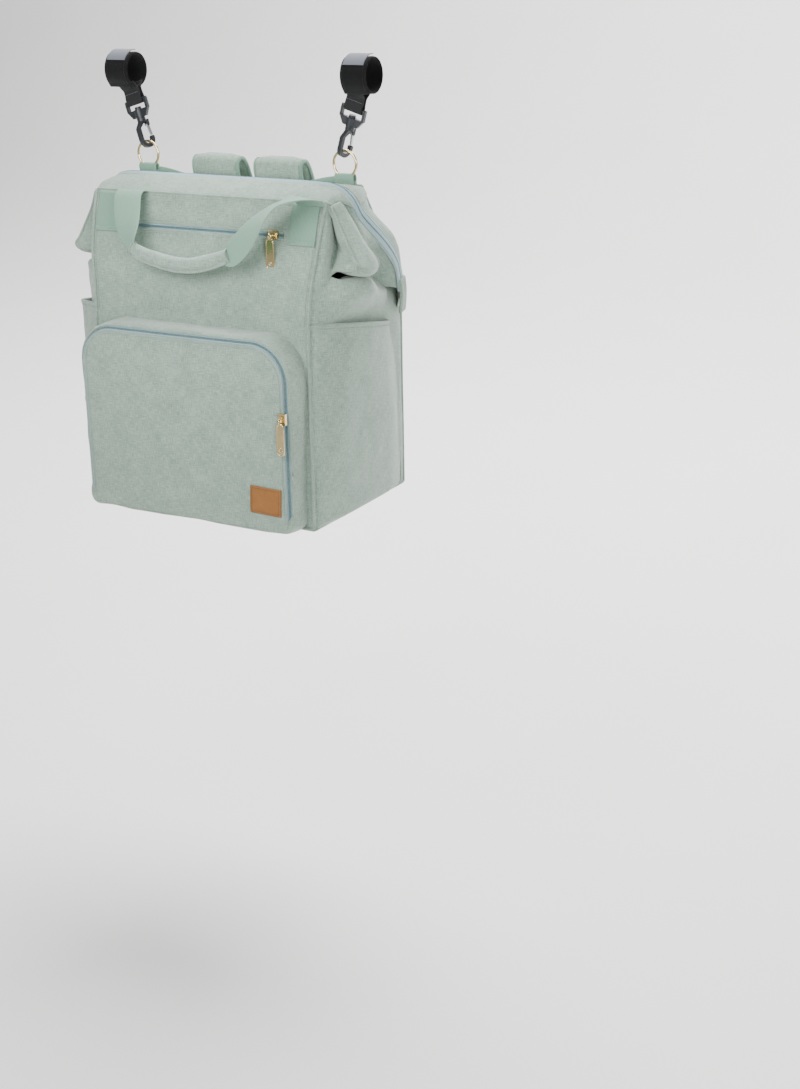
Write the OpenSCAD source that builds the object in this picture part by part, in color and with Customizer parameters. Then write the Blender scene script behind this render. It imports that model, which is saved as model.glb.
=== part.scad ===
// Doctor-bag style baby changing backpack that hangs from a stroller handlebar
// on two hook-and-loop straps with swivel snap hooks.
// Frame: origin on the handlebar axis, midway between the two straps.
// +X to the bag's right as seen from its front, +Y towards its back, +Z up.

/* [Body] */
// Width of the body at its base
body_w = 294; // [286:1:300]
// Depth of the body at its base, front panel to back panel
body_d = 200; // [198:1:204]
// Thickness of one padded fabric panel
fabric_t = 2.5; // [2:0.1:2.8]
// Thickness of the foam pad on the wearer's side
pad_t = 9; // [6:1:9]

/* [Mouth frame] */
// Diameter of the wire of the two hinged frames
wire_d = 4; // [3:0.5:4]
// Diameter of the rivets that join the two frames
rivet_d = 4; // [3.6:0.1:4]
// Distance from the middle of the bag to the outer end of a rivet
rivet_reach = 190; // [189.5:0.5:192]

/* [Front pocket] */
// Width of the front pocket
pocket_w = 275; // [265:1:280]
// Height of the front pocket
pocket_h = 212; // [206:1:214]
// How far the pocket stands out in front of the body
pocket_depth = 26.5; // [24:0.5:28]
// Radius of the pocket's upper corners
pocket_corner = 45; // [35:1:50]
// Height of the fold that the open pocket face turns on
fold_h = 90; // [86:1:94]

/* [Side pockets] */
// How far a side pocket bulges beyond the side panel
side_pocket_depth = 13; // [10:0.5:14]
// Height of the side pocket's rim at the front
rim_front = 222; // [212:1:226]
// Height of the side pocket's rim at the back
rim_back = 200; // [194:1:206]

/* [Carrying] */
// Width of the padded shoulder straps
strap_w = 62; // [56:1:64]
// Distance between the two shoulder straps
strap_gap = 21; // [16:1:26]
// Width of the handle webbing
handle_w = 34; // [28:1:36]
// Outer diameter of the hanging rings
ring_d = 31; // [30:0.5:32]
// Diameter of the ring wire
ring_wire = 3; // [2.6:0.1:3]

/* [Stroller hooks] */
// Diameter of the handlebar that the straps grip
bar_d = 34; // [30:1:36]
// Distance between the two strap centres
hook_span = 308.6; // [300:0.2:314]
// Width of the gripping straps
grip_w = 30; // [26:1:32]
// Diameter of the swivel pin of a hook
pin_d = 5; // [4.6:0.1:5]

/* [Hidden] */
$fn = 48;
run_gap = 0.05;
seam_gap = 0.2;
body_gap = 0.4;

hang_y = 113.9;
hang_z = 471.4;
half_w = body_w / 2;
moving_half = half_w - fabric_t - 1;
hinge = [56, 281];
front_bar = [45, 342.5];
back_bar = [115, 348];
front_seam = [41, 348];
ridge = [77, 363.5];
front_line = [[0, 0], [6, 110], [13, 217], [18, 277.5]];
back_line = [[body_d, 0], [body_d, 225], [168, 285], [121, 353]];
yoke_line = [[23.5, 276], [24.5, 292], front_seam];
side_top = 240;

ring_x = 130.7;
ring_r = (ring_d - ring_wire) / 2;
ring_z = 378.8;
hook_tilt = atan((hook_span / 2 - ring_x) / (hang_z - ring_z - ring_r));
wall = 2.2;

zip_h = 313;
zip_half = 104;
upper_slider_x = zip_half - 12;
handle_x = 118;
handle_hinge = [33.5, 352.5];
grip_half = 70;
grip_c = [-7, 281];
strap_x = (strap_gap + strap_w) / 2;
slider_z = 131;
zip_leg_x = pocket_w / 2 - 6;
side_zip_top = [84, 332];
side_zip_end = [162, 258];
side_zip_x = 166.4;

// Colours
sage = [0.66, 0.73, 0.68];
mint = [0.56, 0.70, 0.62];
zip_blue = [0.60, 0.70, 0.72];
gold = [0.83, 0.74, 0.55];
tan = [0.72, 0.50, 0.32];
black = [0.06, 0.06, 0.07];
grey = [0.36, 0.38, 0.41];
steel = [0.62, 0.63, 0.65];
lining_grey = [0.80, 0.79, 0.75];

// Offsets every point of a path along its own averaged normal
function unit(v) = v / norm(v);
function tangent(p, i) = unit(p[min(i + 1, len(p) - 1)] - p[max(i - 1, 0)]);
function offset_path(p, d) = [for (i = [0:len(p) - 1]) let (t = tangent(p, i)) p[i] + d * [t[1], -t[0]]];
function reversed(p) = [for (i = [len(p) - 1:-1:0]) p[i]];
function ribbon(p, a, b) = concat(offset_path(p, a), reversed(offset_path(p, b)));
function shifted(p, d) = [for (q = p) [q[0] + d, q[1]]];

// From bag coordinates, with the base at zero height, to the handlebar origin
module hang() translate([0, -hang_y, -hang_z]) children();

// A profile drawn in depth and height, drawn out along X
module along_x(x0, x1) translate([x0, 0, 0]) rotate([90, 0, 90]) linear_extrude(x1 - x0) children();

// An outline drawn in width and height, drawn out along Y
module along_y(y0, y1) translate([0, y1, 0]) rotate([90, 0, 0]) linear_extrude(y1 - y0) children();

module both_sides() {
    children();
    mirror([1, 0, 0]) children();
}

module rod(a, b, d) {
    v = b - a;
    translate(a)
        rotate([0, acos(v[2] / norm(v)), atan2(v[1], v[0])])
            cylinder(h = norm(v), d = d);
}

module round_rect(w, h, r) {
    square([w - 2 * r, h], center = true);
    square([w, h - 2 * r], center = true);
    for (x = [-1, 1], z = [-1, 1])
        translate([x * (w / 2 - r), z * (h / 2 - r)]) circle(r);
}

module tube(r, t, h) difference() {
    cylinder(h = h, r = r + t, center = true);
    cylinder(h = h + 1, r = r, center = true);
}

// Stroller straps and hooks ---------------------------------------------------

// Ring of tape, doubled over the part of it above a slanted line
overlap_t = 1.8;
module grip_strap() rotate([0, 90, 0]) linear_extrude(grip_w, center = true) difference() {
    union() {
        circle(bar_d / 2 + wall);
        intersection() {
            circle(bar_d / 2 + wall + overlap_t);
            rotate(-25) translate([-60, -30]) square([55, 60]);
        }
    }
    circle(bar_d / 2);
}

label_turn = 205;
module strap_label() rotate([0, 90, 0]) linear_extrude(25, center = true) intersection() {
    difference() {
        circle(bar_d / 2 + wall + overlap_t + 1.1);
        circle(bar_d / 2 + wall + overlap_t + 0.2);
    }
    rotate(label_turn) polygon([[0, 0], [40, -26], [40, 26]]);
}

// Turns and moves a piece drawn below the bar's axis into its hook's place
module chain(side) translate([side * hook_span / 2, 0, 0]) rotate([0, side * hook_tilt, 0]) children();

eye_bar_z = -36;
eye_low = -55;
module webbing_loop() {
    translate([-11, -1.6, eye_bar_z + 3]) cube([22, 3.2, -bar_d / 2 - wall - 4.3 - eye_bar_z - 3]);
    translate([0, 0, eye_bar_z]) rotate([0, 90, 0]) tube(2.3, 1.6, 22);
}

module hook_eye() difference() {
    union() {
        translate([0, 0, eye_bar_z]) rotate([0, 90, 0]) cylinder(h = 30, d = 4, center = true);
        for (s = [-1, 1]) translate([s * 13.5 - 1.5, -2.25, -47]) cube([3, 4.5, 11]);
        along_y(-2.25, 2.25) polygon([[-15, -46], [15, -46], [9, eye_low], [-9, eye_low]]);
        translate([0, 0, eye_low]) cylinder(h = 9, d = 11);
    }
    translate([0, 0, eye_low - 1]) cylinder(h = 12, d = pin_d + 2 * run_gap);
}

// Snap hook: head and pin in the eye, collar, spine and bowl below it, and
// two ears that carry the gate's pin
gate_pivot = [6.6, -63.5];
gate_pin_r = 0.75;
ear_t = 0.95;
bowl_z = -79;
bowl_r = 6;
hook_t = 4.5;
hook_turn = 80;
module hook_body() rotate([0, 0, hook_turn]) {
    translate([0, 0, -45.7]) cylinder(h = 2.6, d = 7.6);
    translate([0, 0, -57]) cylinder(h = 12, d = pin_d);
    translate([0, 0, -59.5]) cylinder(h = 4.2, d = 10);
    along_y(-hook_t / 2, hook_t / 2) {
        polygon([[-4, -59], [4, -59], [-bowl_r, -67], [-bowl_r - hook_t, -67]]);
        translate([-bowl_r - hook_t, bowl_z]) square([hook_t, -66.9 - bowl_z]);
        translate([0, bowl_z]) difference() {
            circle(bowl_r + hook_t);
            circle(bowl_r);
            translate([-20, 0]) square([40, 20]);
        }
        translate([bowl_r + hook_t / 2, bowl_z]) circle(hook_t / 2);
        translate([1.5, -61]) square([7.2, 3]);
        translate(gate_pivot) circle(gate_pin_r);
    }
    for (y = [-hook_t / 2, hook_t / 2 - ear_t]) along_y(y, y + ear_t) {
        translate(gate_pivot) circle(2.1);
        translate([gate_pivot[0] - 2.1, gate_pivot[1]]) square([4.2, 3]);
    }
}

module hook_gate() rotate([0, 0, hook_turn]) along_y(-1.2, 1.2) difference() {
    union() {
        translate(gate_pivot) circle(1.9);
        polygon([[5.3, -63.5], [8, -63.5], [9.6, -76], [7.4, -76.2]]);
    }
    translate(gate_pivot) circle(gate_pin_r + run_gap);
}

module ring() hang() translate([-ring_x, hang_y, ring_z]) rotate([90, 0, 0])
    rotate_extrude() translate([ring_r, 0]) circle(d = ring_wire);

// Webbing tab that holds a ring at its lowest point
tab_r = 2.8;
module ring_tab() translate([ring_x, hang_y, ring_z - ring_r + 0.5]) {
    difference() {
        union() {
            rotate([0, 90, 0]) cylinder(h = 12, r = tab_r + 1.2, center = true);
            translate([-8, -1.6, -8.1]) cube([16, 3.2, 4.5]);
        }
        rotate([0, 90, 0]) cylinder(h = 20, r = tab_r, center = true);
    }
}

// Body ------------------------------------------------------------------------

module side_outline(gap) polygon([
    [fabric_t + gap, fabric_t + gap], [6 + fabric_t + gap, 110], [13 + fabric_t + gap, 217],
    [14.9 + fabric_t + gap, side_top], [192 - fabric_t - gap, side_top],
    [body_d - fabric_t - gap, 225], [body_d - fabric_t - gap, fabric_t + gap]
]);

module side_panel() along_x(half_w - fabric_t, half_w) side_outline(seam_gap);

// Upper side fabric between the two frames, kept inside the sweep of the front frame
module gusset() along_x(half_w - fabric_t, half_w) polygon([
    [18, side_top + seam_gap], [22.5, 289], [35, 331], [48, 341], [76, 359],
    [107, 348], [162, 285], [188, side_top + seam_gap]
]);

module front_panel() along_x(-half_w, half_w)
    polygon(concat(front_line, reversed(shifted(front_line, fabric_t))));

module back_panel() along_x(-half_w, half_w)
    polygon(concat(back_line, reversed(shifted(back_line, -fabric_t))));

module base_panel() translate([-half_w + fabric_t + seam_gap, fabric_t + seam_gap, 0])
    cube([body_w - 2 * fabric_t - 2 * seam_gap, body_d - 2 * fabric_t - 2 * seam_gap, fabric_t]);

module base_board() translate([-half_w + 9, 12, fabric_t + 1.4]) cube([body_w - 18, body_d - 22, 2.5]);

module back_foam_pad() along_y(body_d + seam_gap, body_d + pad_t)
    translate([0, 118]) round_rect(246, 196, 24);

// Inner bag of thin lining cloth, open at the top
module lining() difference() {
    along_x(-half_w + fabric_t + 0.6, half_w - fabric_t - 0.6) polygon([
        [fabric_t + 0.6, fabric_t + 0.4], [6 + fabric_t + 0.6, 110], [15.2, 205],
        [17.4, 232], [192, 232], [body_d - fabric_t - 0.6, 222], [body_d - fabric_t - 0.6, fabric_t + 0.4]
    ]);
    along_x(-half_w + fabric_t + 1.4, half_w - fabric_t - 1.4) polygon([
        [fabric_t + 1.4, fabric_t + 1.2], [7.8 + fabric_t, 110], [16, 205],
        [18.2, 233], [191, 233], [body_d - fabric_t - 1.4, 222], [body_d - fabric_t - 1.4, fabric_t + 1.2]
    ]);
}

// Open organiser pocket on the inner side of the back panel
module inner_pocket() translate([0, body_d - fabric_t - 2, 60]) difference() {
    translate([-110, -18, 0]) cube([220, 18, 130]);
    translate([-108.5, -16.5, 2]) cube([217, 15.5, 130]);
}

// Side pockets ----------------------------------------------------------------

pocket_front_y = 16;
pocket_back_y = 187;
module rim_cut(drop) along_x(half_w - 5, half_w + 30) polygon([
    [-20, rim_front - drop + 3], [220, rim_back - drop - 3], [220, 300], [-20, 300]
]);

module pocket_block(inset) translate([half_w + seam_gap, pocket_front_y + inset, 5 + inset])
    cube([side_pocket_depth - inset, pocket_back_y - pocket_front_y - 2 * inset, 240]);

module side_pocket() difference() {
    pocket_block(0);
    pocket_block(1.8);
    rim_cut(7);
}

module pocket_binding() difference() {
    pocket_block(0);
    pocket_block(2.2);
    rim_cut(0);
    difference() {
        translate([half_w - 5, -20, -10]) cube([40, 240, 300]);
        rim_cut(6.8);
    }
}

// Front pocket ----------------------------------------------------------------

module pocket_outline(inset) {
    w = pocket_w - 2 * inset;
    r = pocket_corner - inset;
    low = 12 - min(inset, 8);
    difference() {
        union() {
            translate([-w / 2, inset + low]) square([w, pocket_h - 2 * inset - r - low]);
            translate([-w / 2 + low, inset]) square([w - 2 * low, low + 1]);
            translate([-w / 2 + r, pocket_h - inset - r - 1]) square([w - 2 * r, r + 1]);
            for (s = [-1, 1]) {
                translate([s * (w / 2 - low), inset + low]) circle(low);
                translate([s * (w / 2 - r), pocket_h - inset - r]) circle(r);
            }
        }
    }
}

lip = 6;
module pocket_walls() difference() {
    along_y(-pocket_depth + lip + body_gap, 14) pocket_outline(0);
    along_y(-pocket_depth, 20) pocket_outline(2);
    along_x(-200, 200) polygon(concat([[-seam_gap, -20]], shifted(front_line, -seam_gap), [[40, 280], [40, -20]]));
}

module pocket_lower_face() difference() {
    along_y(-pocket_depth, -pocket_depth + lip) pocket_outline(0);
    along_y(-pocket_depth + fabric_t, 0) pocket_outline(2);
    translate([-200, -60, fold_h - 1.4]) cube([400, 100, 300]);
}

module pocket_flap() difference() {
    along_y(-pocket_depth, -pocket_depth + lip) pocket_outline(0);
    along_y(-pocket_depth + fabric_t, 0) pocket_outline(2);
    translate([-200, -60, fold_h + 0.3 - 300]) cube([400, 100, 300]);
}

// Zip that runs up both sides and over the top of the pocket face
module pocket_zip() difference() {
    along_y(-pocket_depth - 1.2, -pocket_depth - 0.1) pocket_outline(3);
    along_y(-pocket_depth - 2, 0) pocket_outline(9);
    translate([-200, -60, fold_h + 1.5 - 300]) cube([400, 100, 300]);
}

module zip_slider() {
    translate([-4.5, -3.4, -6]) cube([9, 3.4, 12]);
    translate([-2, -5.4, -3]) cube([4, 2.1, 7]);
}

// Flat puller with a hole near its lower end, hanging from a pin along X
module puller(length, width) difference() {
    union() {
        translate([0, 0, -length / 2]) along_y(-0.8, 0.8) round_rect(width, length, 2.4);
        rotate([0, 90, 0]) cylinder(h = width - 2, d = 2.4, center = true);
    }
    translate([0, 0, 4 - length]) rotate([90, 0, 0]) cylinder(h = 4, d = 3, center = true);
}

module pocket_slider() translate([zip_leg_x, -pocket_depth - 1.5, slider_z]) zip_slider();

module pocket_pull() translate([zip_leg_x, -pocket_depth - 8.6, slider_z - 1]) puller(38, 9);

module leather_patch() along_y(-pocket_depth - 1.4, -pocket_depth - 0.1)
    translate([106, 36.5]) round_rect(38, 31, 1.5);

// Mouth: upper front panel, frames, top panels and zips -----------------------

module on_yoke(t0, t1) along_x(-moving_half, moving_half)
    polygon(ribbon(yoke_line, t0, t1));

// Slot that the upper zip closes, cut back to a given depth
module zip_slot(depth) translate([-zip_half, 0, zip_h - 2.5]) cube([2 * zip_half, depth, 5]);

module front_upper_panel() difference() {
    on_yoke(0, fabric_t);
    zip_slot(60);
}

yoke_knee = yoke_line[1];
yoke_lean = atan2(front_seam[0] - yoke_knee[0], front_seam[1] - yoke_knee[1]);
yoke_y = yoke_knee[0] + (zip_h - yoke_knee[1]) * tan(yoke_lean);
module upper_zip() translate([0, yoke_y, zip_h]) rotate([-yoke_lean, 0, 0])
    along_y(-0.9, -0.1) square([2 * zip_half + 8, 12], center = true);

module upper_slider() translate([upper_slider_x, yoke_y - 1.2, zip_h]) rotate([-yoke_lean, 0, 0])
    rotate([0, 90, 0]) zip_slider();

module upper_pull() translate([upper_slider_x, yoke_y - 8.4, zip_h]) rotate([-9, 0, 0]) puller(36, 10);

// Flat pouch behind the upper zip
module upper_pocket() difference() {
    along_x(-120, 120) polygon(ribbon([[25.5, 296], [36.9, 334]], fabric_t + 0.2, 12));
    along_x(-118.5, 118.5) polygon(ribbon([[26.1, 298], [36.3, 332]], fabric_t + 1, 10.8));
    zip_slot(38);
}

// One wire frame: bar across the mouth, two legs and an eye at each rivet
module frame_wire(bar, eye_x) {
    corner = moving_half + 7;
    top = [corner, bar[0], bar[1]];
    eye = [eye_x, hinge[0], hinge[1]];
    translate([-corner, bar[0], bar[1]]) rotate([0, 90, 0]) cylinder(h = 2 * corner, d = wire_d);
    both_sides() {
        translate(top) sphere(d = wire_d + 1);
        difference() {
            union() {
                rod(top, top + 0.945 * (eye - top), wire_d);
                translate(eye - [1.5, 0, 0]) rotate([0, 90, 0]) cylinder(h = 3, r = 5);
            }
            translate(eye - [8, 0, 0]) rotate([0, 90, 0])
                cylinder(h = 16, d = rivet_d + 2 * run_gap);
        }
    }
}

module frame_rivets() both_sides() translate([0, hinge[0], hinge[1]]) rotate([0, 90, 0]) {
    translate([0, 0, rivet_reach - 14]) cylinder(h = 13, d = rivet_d);
    translate([0, 0, rivet_reach - 1.2]) cylinder(h = 1.4, d = 8);
    translate([0, 0, rivet_reach - 15]) cylinder(h = 1.4, d = 8);
}

module front_top_panel() along_x(-moving_half, moving_half)
    polygon([[42.5, 349], [72, 361.8], [72, 359.3], [46, 348]]);

module back_top_panel() along_x(-moving_half, moving_half)
    polygon([[82, 361.8], [118.5, 355.8], [118.5, 353.3], [82, 359.3]]);

module front_zip_tape() along_x(-moving_half, moving_half)
    polygon([[66, 359.5], [72.2, 362.2], [ridge[0] - body_gap, 363.2], [ridge[0] - body_gap, 365], [72, 364.2], [66, 361.8]]);

module back_zip_tape() along_x(-moving_half, moving_half)
    polygon([[89, 361], [82, 362.2], [ridge[0] + body_gap, 363.2], [ridge[0] + body_gap, 365], [82, 364.2], [89, 363]]);

module side_zip() along_x(side_zip_x, side_zip_x + 1.6)
    polygon(ribbon([side_zip_top, side_zip_end], -8, 8));

zip_slope = atan2(side_zip_end[0] - side_zip_top[0], side_zip_top[1] - side_zip_end[1]);
module main_slider() translate([-side_zip_x - 1.9, side_zip_end[0] - 10, side_zip_end[1] + 11.3])
    rotate([zip_slope, 0, 0]) rotate([0, 0, -90]) zip_slider();

module main_pull() translate([-side_zip_x - 9.2, side_zip_end[0] - 10, side_zip_end[1] + 10])
    rotate([0, 0, -90]) puller(36, 10);

// Folded cloth tab that covers the lower end of the main zip
module zip_end_tab() along_x(side_zip_x - 7, side_zip_x)
    polygon([[160, 240], [175, 246], [182, 214], [167, 208]]);

// Shoulder straps -------------------------------------------------------------

strap_path = [
    [122.6, 358.2], [118, 370], [121, 376.5], [130, 376.5], [141, 361], [154, 333], [167, 309],
    [183, 284], [201, 256], [213.6, 224], [214.2, 200], [214.2, 112]
];
module shoulder_strap() along_x(strap_x - strap_w / 2, strap_x + strap_w / 2)
    polygon(ribbon(strap_path, 4.5, -4.5));

module strap_web() along_x(strap_x - 12.5, strap_x + 12.5)
    polygon(ribbon([[214.2, 111.5], [211.8, 104], [211.8, 20], [203, 8]], 1, -1));

module adjuster() translate([strap_x, 215.4, 92]) difference() {
    along_y(-2, 2) square([33, 24], center = true);
    for (z = [-6, 5]) translate([-13, -3, z - 3.2]) cube([26, 6, 6.4]);
}

// Front handle ----------------------------------------------------------------

module handle_anchor() along_x(handle_x + 9 - handle_w / 2, handle_x + 9 + handle_w / 2)
    polygon(ribbon([[27.9, 304], [40, 345]], -0.2, -2));

module handle_web() {
    translate([handle_x, handle_hinge[0], handle_hinge[1]]) rotate([0, 90, 0])
        cylinder(h = handle_w, r = 2.6, center = true);
    along_x(handle_x - handle_w / 2, handle_x + handle_w / 2)
        polygon(ribbon([[handle_hinge[0] - 1, handle_hinge[1]], [15, 326], [-1, 298]], 1, -1));
    along_y(grip_c[0] - 1, grip_c[0] + 1)
        polygon([[grip_half + 0.2, 273], [grip_half + 0.2, 289], [handle_x - 16, 299], [handle_x + 14, 299]]);
    along_x(handle_x - 16, handle_x + 14)
        polygon(ribbon([[-0.6, 298.5], [grip_c[0], 297]], 1, -1));
}

module handle_grip() translate([0, grip_c[0], grip_c[1]]) rotate([0, 90, 0])
    linear_extrude(2 * grip_half, center = true) round_rect(20, 13, 6);

module seam_piping() both_sides() along_x(half_w - 3.5, half_w - 0.5)
    polygon(concat(shifted(front_line, -3), reversed(shifted(front_line, -seam_gap))));

// Nodes -----------------------------------------------------------------------

module left_grip_strap() color(black) translate([-hook_span / 2, 0, 0]) grip_strap();
module right_grip_strap() color(black) translate([hook_span / 2, 0, 0]) grip_strap();
module strap_labels() color(grey) both_sides() translate([hook_span / 2, 0, 0]) strap_label();
module hook_webbing() color(black) both_sides() chain(1) webbing_loop();
module left_hook_eye() color(grey) chain(-1) hook_eye();
module right_hook_eye() color(grey) chain(1) hook_eye();
module left_hook_body() color(grey) chain(-1) hook_body();
module right_hook_body() color(grey) chain(1) hook_body();
module left_hook_gate() color(steel) chain(-1) hook_gate();
module right_hook_gate() color(steel) chain(1) hook_gate();
module left_ring() color(gold) ring();
module right_ring() color(gold) mirror([1, 0, 0]) ring();

left_grip_strap();
right_grip_strap();
strap_labels();
hook_webbing();
left_hook_eye();
right_hook_eye();
left_hook_body();
right_hook_body();
left_hook_gate();
right_hook_gate();
left_ring();
right_ring();
color(mint) hang() both_sides() ring_tab();  // ring_tabs
color(sage) hang() base_panel();
color(lining_grey) hang() base_board();
color(sage) hang() front_panel();
color(sage) hang() back_panel();
color(sage) hang() back_foam_pad();
color(sage) hang() mirror([1, 0, 0]) side_panel();  // left_side_panel
color(sage) hang() side_panel();  // right_side_panel
color(sage) hang() mirror([1, 0, 0]) gusset();  // left_gusset
color(sage) hang() gusset();  // right_gusset
color(sage) hang() mirror([1, 0, 0]) side_pocket();  // left_side_pocket
color(sage) hang() side_pocket();  // right_side_pocket
color(mint) hang() both_sides() pocket_binding();  // pocket_bindings
color(lining_grey) hang() lining();
color(lining_grey) hang() inner_pocket();
color(sage) hang() pocket_walls();
color(sage) hang() pocket_lower_face();
color(sage) hang() pocket_flap();
color(zip_blue) hang() pocket_zip();
color(gold) hang() pocket_slider();
color(gold) hang() pocket_pull();
color(tan) hang() leather_patch();
color(sage) hang() front_upper_panel();
color(zip_blue) hang() upper_zip();
color(gold) hang() upper_slider();
color(gold) hang() upper_pull();
color(lining_grey) hang() upper_pocket();
color(steel) hang() frame_wire(front_bar, rivet_reach - 5.6);  // front_frame_wire
color(steel) hang() frame_wire(back_bar, rivet_reach - 12);  // back_frame_wire
color(steel) hang() frame_rivets();
color(sage) hang() front_top_panel();
color(sage) hang() back_top_panel();
color(zip_blue) hang() front_zip_tape();
color(zip_blue) hang() back_zip_tape();
color(zip_blue) hang() mirror([1, 0, 0]) side_zip();  // left_side_zip
color(zip_blue) hang() side_zip();  // right_side_zip
color(gold) hang() main_slider();
color(gold) hang() main_pull();
color(sage) hang() both_sides() zip_end_tab();  // zip_end_tabs
color(sage) hang() mirror([1, 0, 0]) shoulder_strap();  // left_shoulder_strap
color(sage) hang() shoulder_strap();  // right_shoulder_strap
color(mint) hang() both_sides() strap_web();  // strap_webbing
color(grey) hang() both_sides() adjuster();  // strap_adjusters
color(mint) hang() both_sides() handle_anchor();  // handle_anchors
color(mint) hang() both_sides() handle_web();  // handle_webbing
color(sage) hang() handle_grip();
color(sage) hang() seam_piping();
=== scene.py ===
"""Diaper backpack: fabric, webbing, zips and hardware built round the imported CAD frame."""

import math

import bmesh
import bpy
import numpy as np
from mathutils import Matrix, Vector, noise


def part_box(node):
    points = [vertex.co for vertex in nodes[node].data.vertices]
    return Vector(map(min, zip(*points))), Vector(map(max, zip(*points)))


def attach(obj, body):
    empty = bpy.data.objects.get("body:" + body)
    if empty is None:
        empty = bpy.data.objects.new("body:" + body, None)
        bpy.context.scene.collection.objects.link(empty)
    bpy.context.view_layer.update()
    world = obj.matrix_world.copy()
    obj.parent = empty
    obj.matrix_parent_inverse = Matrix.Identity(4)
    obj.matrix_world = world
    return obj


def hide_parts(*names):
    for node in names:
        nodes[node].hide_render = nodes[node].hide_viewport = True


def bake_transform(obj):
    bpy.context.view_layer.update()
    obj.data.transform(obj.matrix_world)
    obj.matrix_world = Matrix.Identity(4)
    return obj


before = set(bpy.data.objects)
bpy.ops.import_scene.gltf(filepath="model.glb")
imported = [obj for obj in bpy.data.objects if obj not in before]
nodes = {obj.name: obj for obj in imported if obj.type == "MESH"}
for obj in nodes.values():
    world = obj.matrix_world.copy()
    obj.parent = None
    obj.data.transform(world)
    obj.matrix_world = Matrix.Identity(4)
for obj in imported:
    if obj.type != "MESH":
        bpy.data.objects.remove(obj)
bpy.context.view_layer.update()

# Bag coordinates, in millimetres: Y is 0 at the front panel's foot, Z is 0 under the base
ORIGIN = np.array([0.0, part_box("front_panel")[0].y * 1000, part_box("base_panel")[0].z * 1000])
SIDES = ((1, "right"), (-1, "left"))
FABRIC, WEB, ZIP_SLOT, LINING_SLOT = "body_fabric", "webbing", "zip_tape", "lining_cloth"


def place(v):
    """Bag millimetres to metres in the frame."""
    return (np.asarray(v, float) + ORIGIN) / 1000


# What a piece crosses when it spans a joint: two bodies, then where the turn starts and ends
YOKE_BEND = ("bag", "front_frame", place((0, 30, 246)), place((0, 14, 290)))
GUSSET_BEND = ("bag", "front_frame", place((0, 148, 271)), place((0, 111.2, 306.2)))
FLAP_BEND = ("bag", "pocket_flap", place((0, -26, 74)), place((0, -26, 106)))

# Curves and grids ---------------------------------------------------------------


def unit(v):
    return v / np.maximum(np.linalg.norm(v, axis=-1, keepdims=True), 1e-9)


def tangents(path):
    return unit(np.gradient(path, axis=0))


def xyz(x, y, z):
    """Points from three coordinates, each a number or an array."""
    return np.stack(np.broadcast_arrays(*(np.asarray(c, float) for c in (x, y, z))), -1)


def spline(points, n):
    """n points along a Catmull-Rom curve through the given ones, spaced by control interval."""
    p = np.asarray(points, float)
    ext = np.vstack([2 * p[0] - p[1], p, 2 * p[-1] - p[-2]])
    t = np.linspace(0, len(p) - 1, n)
    i = np.minimum(t.astype(int), len(p) - 2)
    f = (t - i)[:, None]
    a, b, c, d = ext[i], ext[i + 1], ext[i + 2], ext[i + 3]
    return 0.5 * (2 * b + (c - a) * f + (2 * a - 5 * b + 4 * c - d) * f**2 + (3 * b - a - 3 * c + d) * f**3)


def even(points, step):
    """The same path with its points a fixed step apart."""
    p = np.asarray(points, float)
    s = np.concatenate([[0], np.cumsum(np.linalg.norm(np.diff(p, axis=0), axis=1))])
    q = np.linspace(0, s[-1], max(2, int(round(s[-1] / step)) + 1))
    return np.stack([np.interp(q, s, p[:, k]) for k in range(p.shape[1])], 1)


def smooth_path(points, step):
    return even(spline(points, 40 * len(points)), step)


def side_path(x, depth_height, step):
    """A smooth path that stays at one X, through (Y, Z) points."""
    p = smooth_path(depth_height, step)
    return xyz(x, p[:, 0], p[:, 1])


def refine(g, nv):
    """The same grid with nv smooth rows."""
    return np.stack([spline(g[:, k], nv) for k in range(g.shape[1])], 1)


def at_height(z, *points):
    """A row of control points that all lie at one height."""
    return [(x, y, z) for x, y in points]


def net(rows, nu, nv):
    """A fine grid, nv rows by nu columns, through a coarse net of control points."""
    return refine(np.stack([spline(r, nu) for r in np.asarray(rows, float)]), nv)


def closed_grid(g):
    return np.concatenate([g, g[:, :1]], 1)


def wrinkle(v, size, depth, seed=0.0):
    """Soft crumpling: smooth noise of a given size in millimetres."""
    shift = np.array([seed, -seed, 2 * seed])
    out = [noise.noise(Vector(q)) for q in v.reshape(-1, 3) / size + shift]
    return np.array(out).reshape(v.shape[:-1]) * depth


def grid_normals(g):
    return unit(np.cross(np.gradient(g, axis=1), np.gradient(g, axis=0)))


def crumple(g, size, depth, seed=0.0):
    """Moves a grid's points along their normals by smooth noise, fading out at its edges."""
    u = np.sin(np.linspace(0, math.pi, g.shape[1])) ** 0.5
    v = np.sin(np.linspace(0, math.pi, g.shape[0])) ** 0.5
    return g + grid_normals(g) * (wrinkle(g, size, depth, seed) * u * v[:, None])[:, :, None]


def squarer(x, power):
    """A sine or cosine pulled out towards the corners of a square."""
    return np.sign(x) * np.abs(x) ** power


def around(n):
    return np.arange(n) * 2 * math.pi / n


def circle(r, n=10):
    return np.stack([r * np.cos(around(n)), r * np.sin(around(n))], 1)


def flat(width, thick):
    """Profile of a strap with rounded edges."""
    x = np.linspace(-width / 2 + thick / 2, width / 2 - thick / 2, 6)
    y = np.full(len(x), thick / 2)
    a = np.linspace(-60, 60, 4) * math.pi / 180
    edge = np.stack([width / 2 - thick / 2 + thick / 2 * np.cos(a), thick / 2 * np.sin(a)], 1)
    return np.vstack([edge, np.stack([x[::-1], y], 1), -edge, np.stack([x, -y], 1)])


# Meshes ------------------------------------------------------------------------


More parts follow.
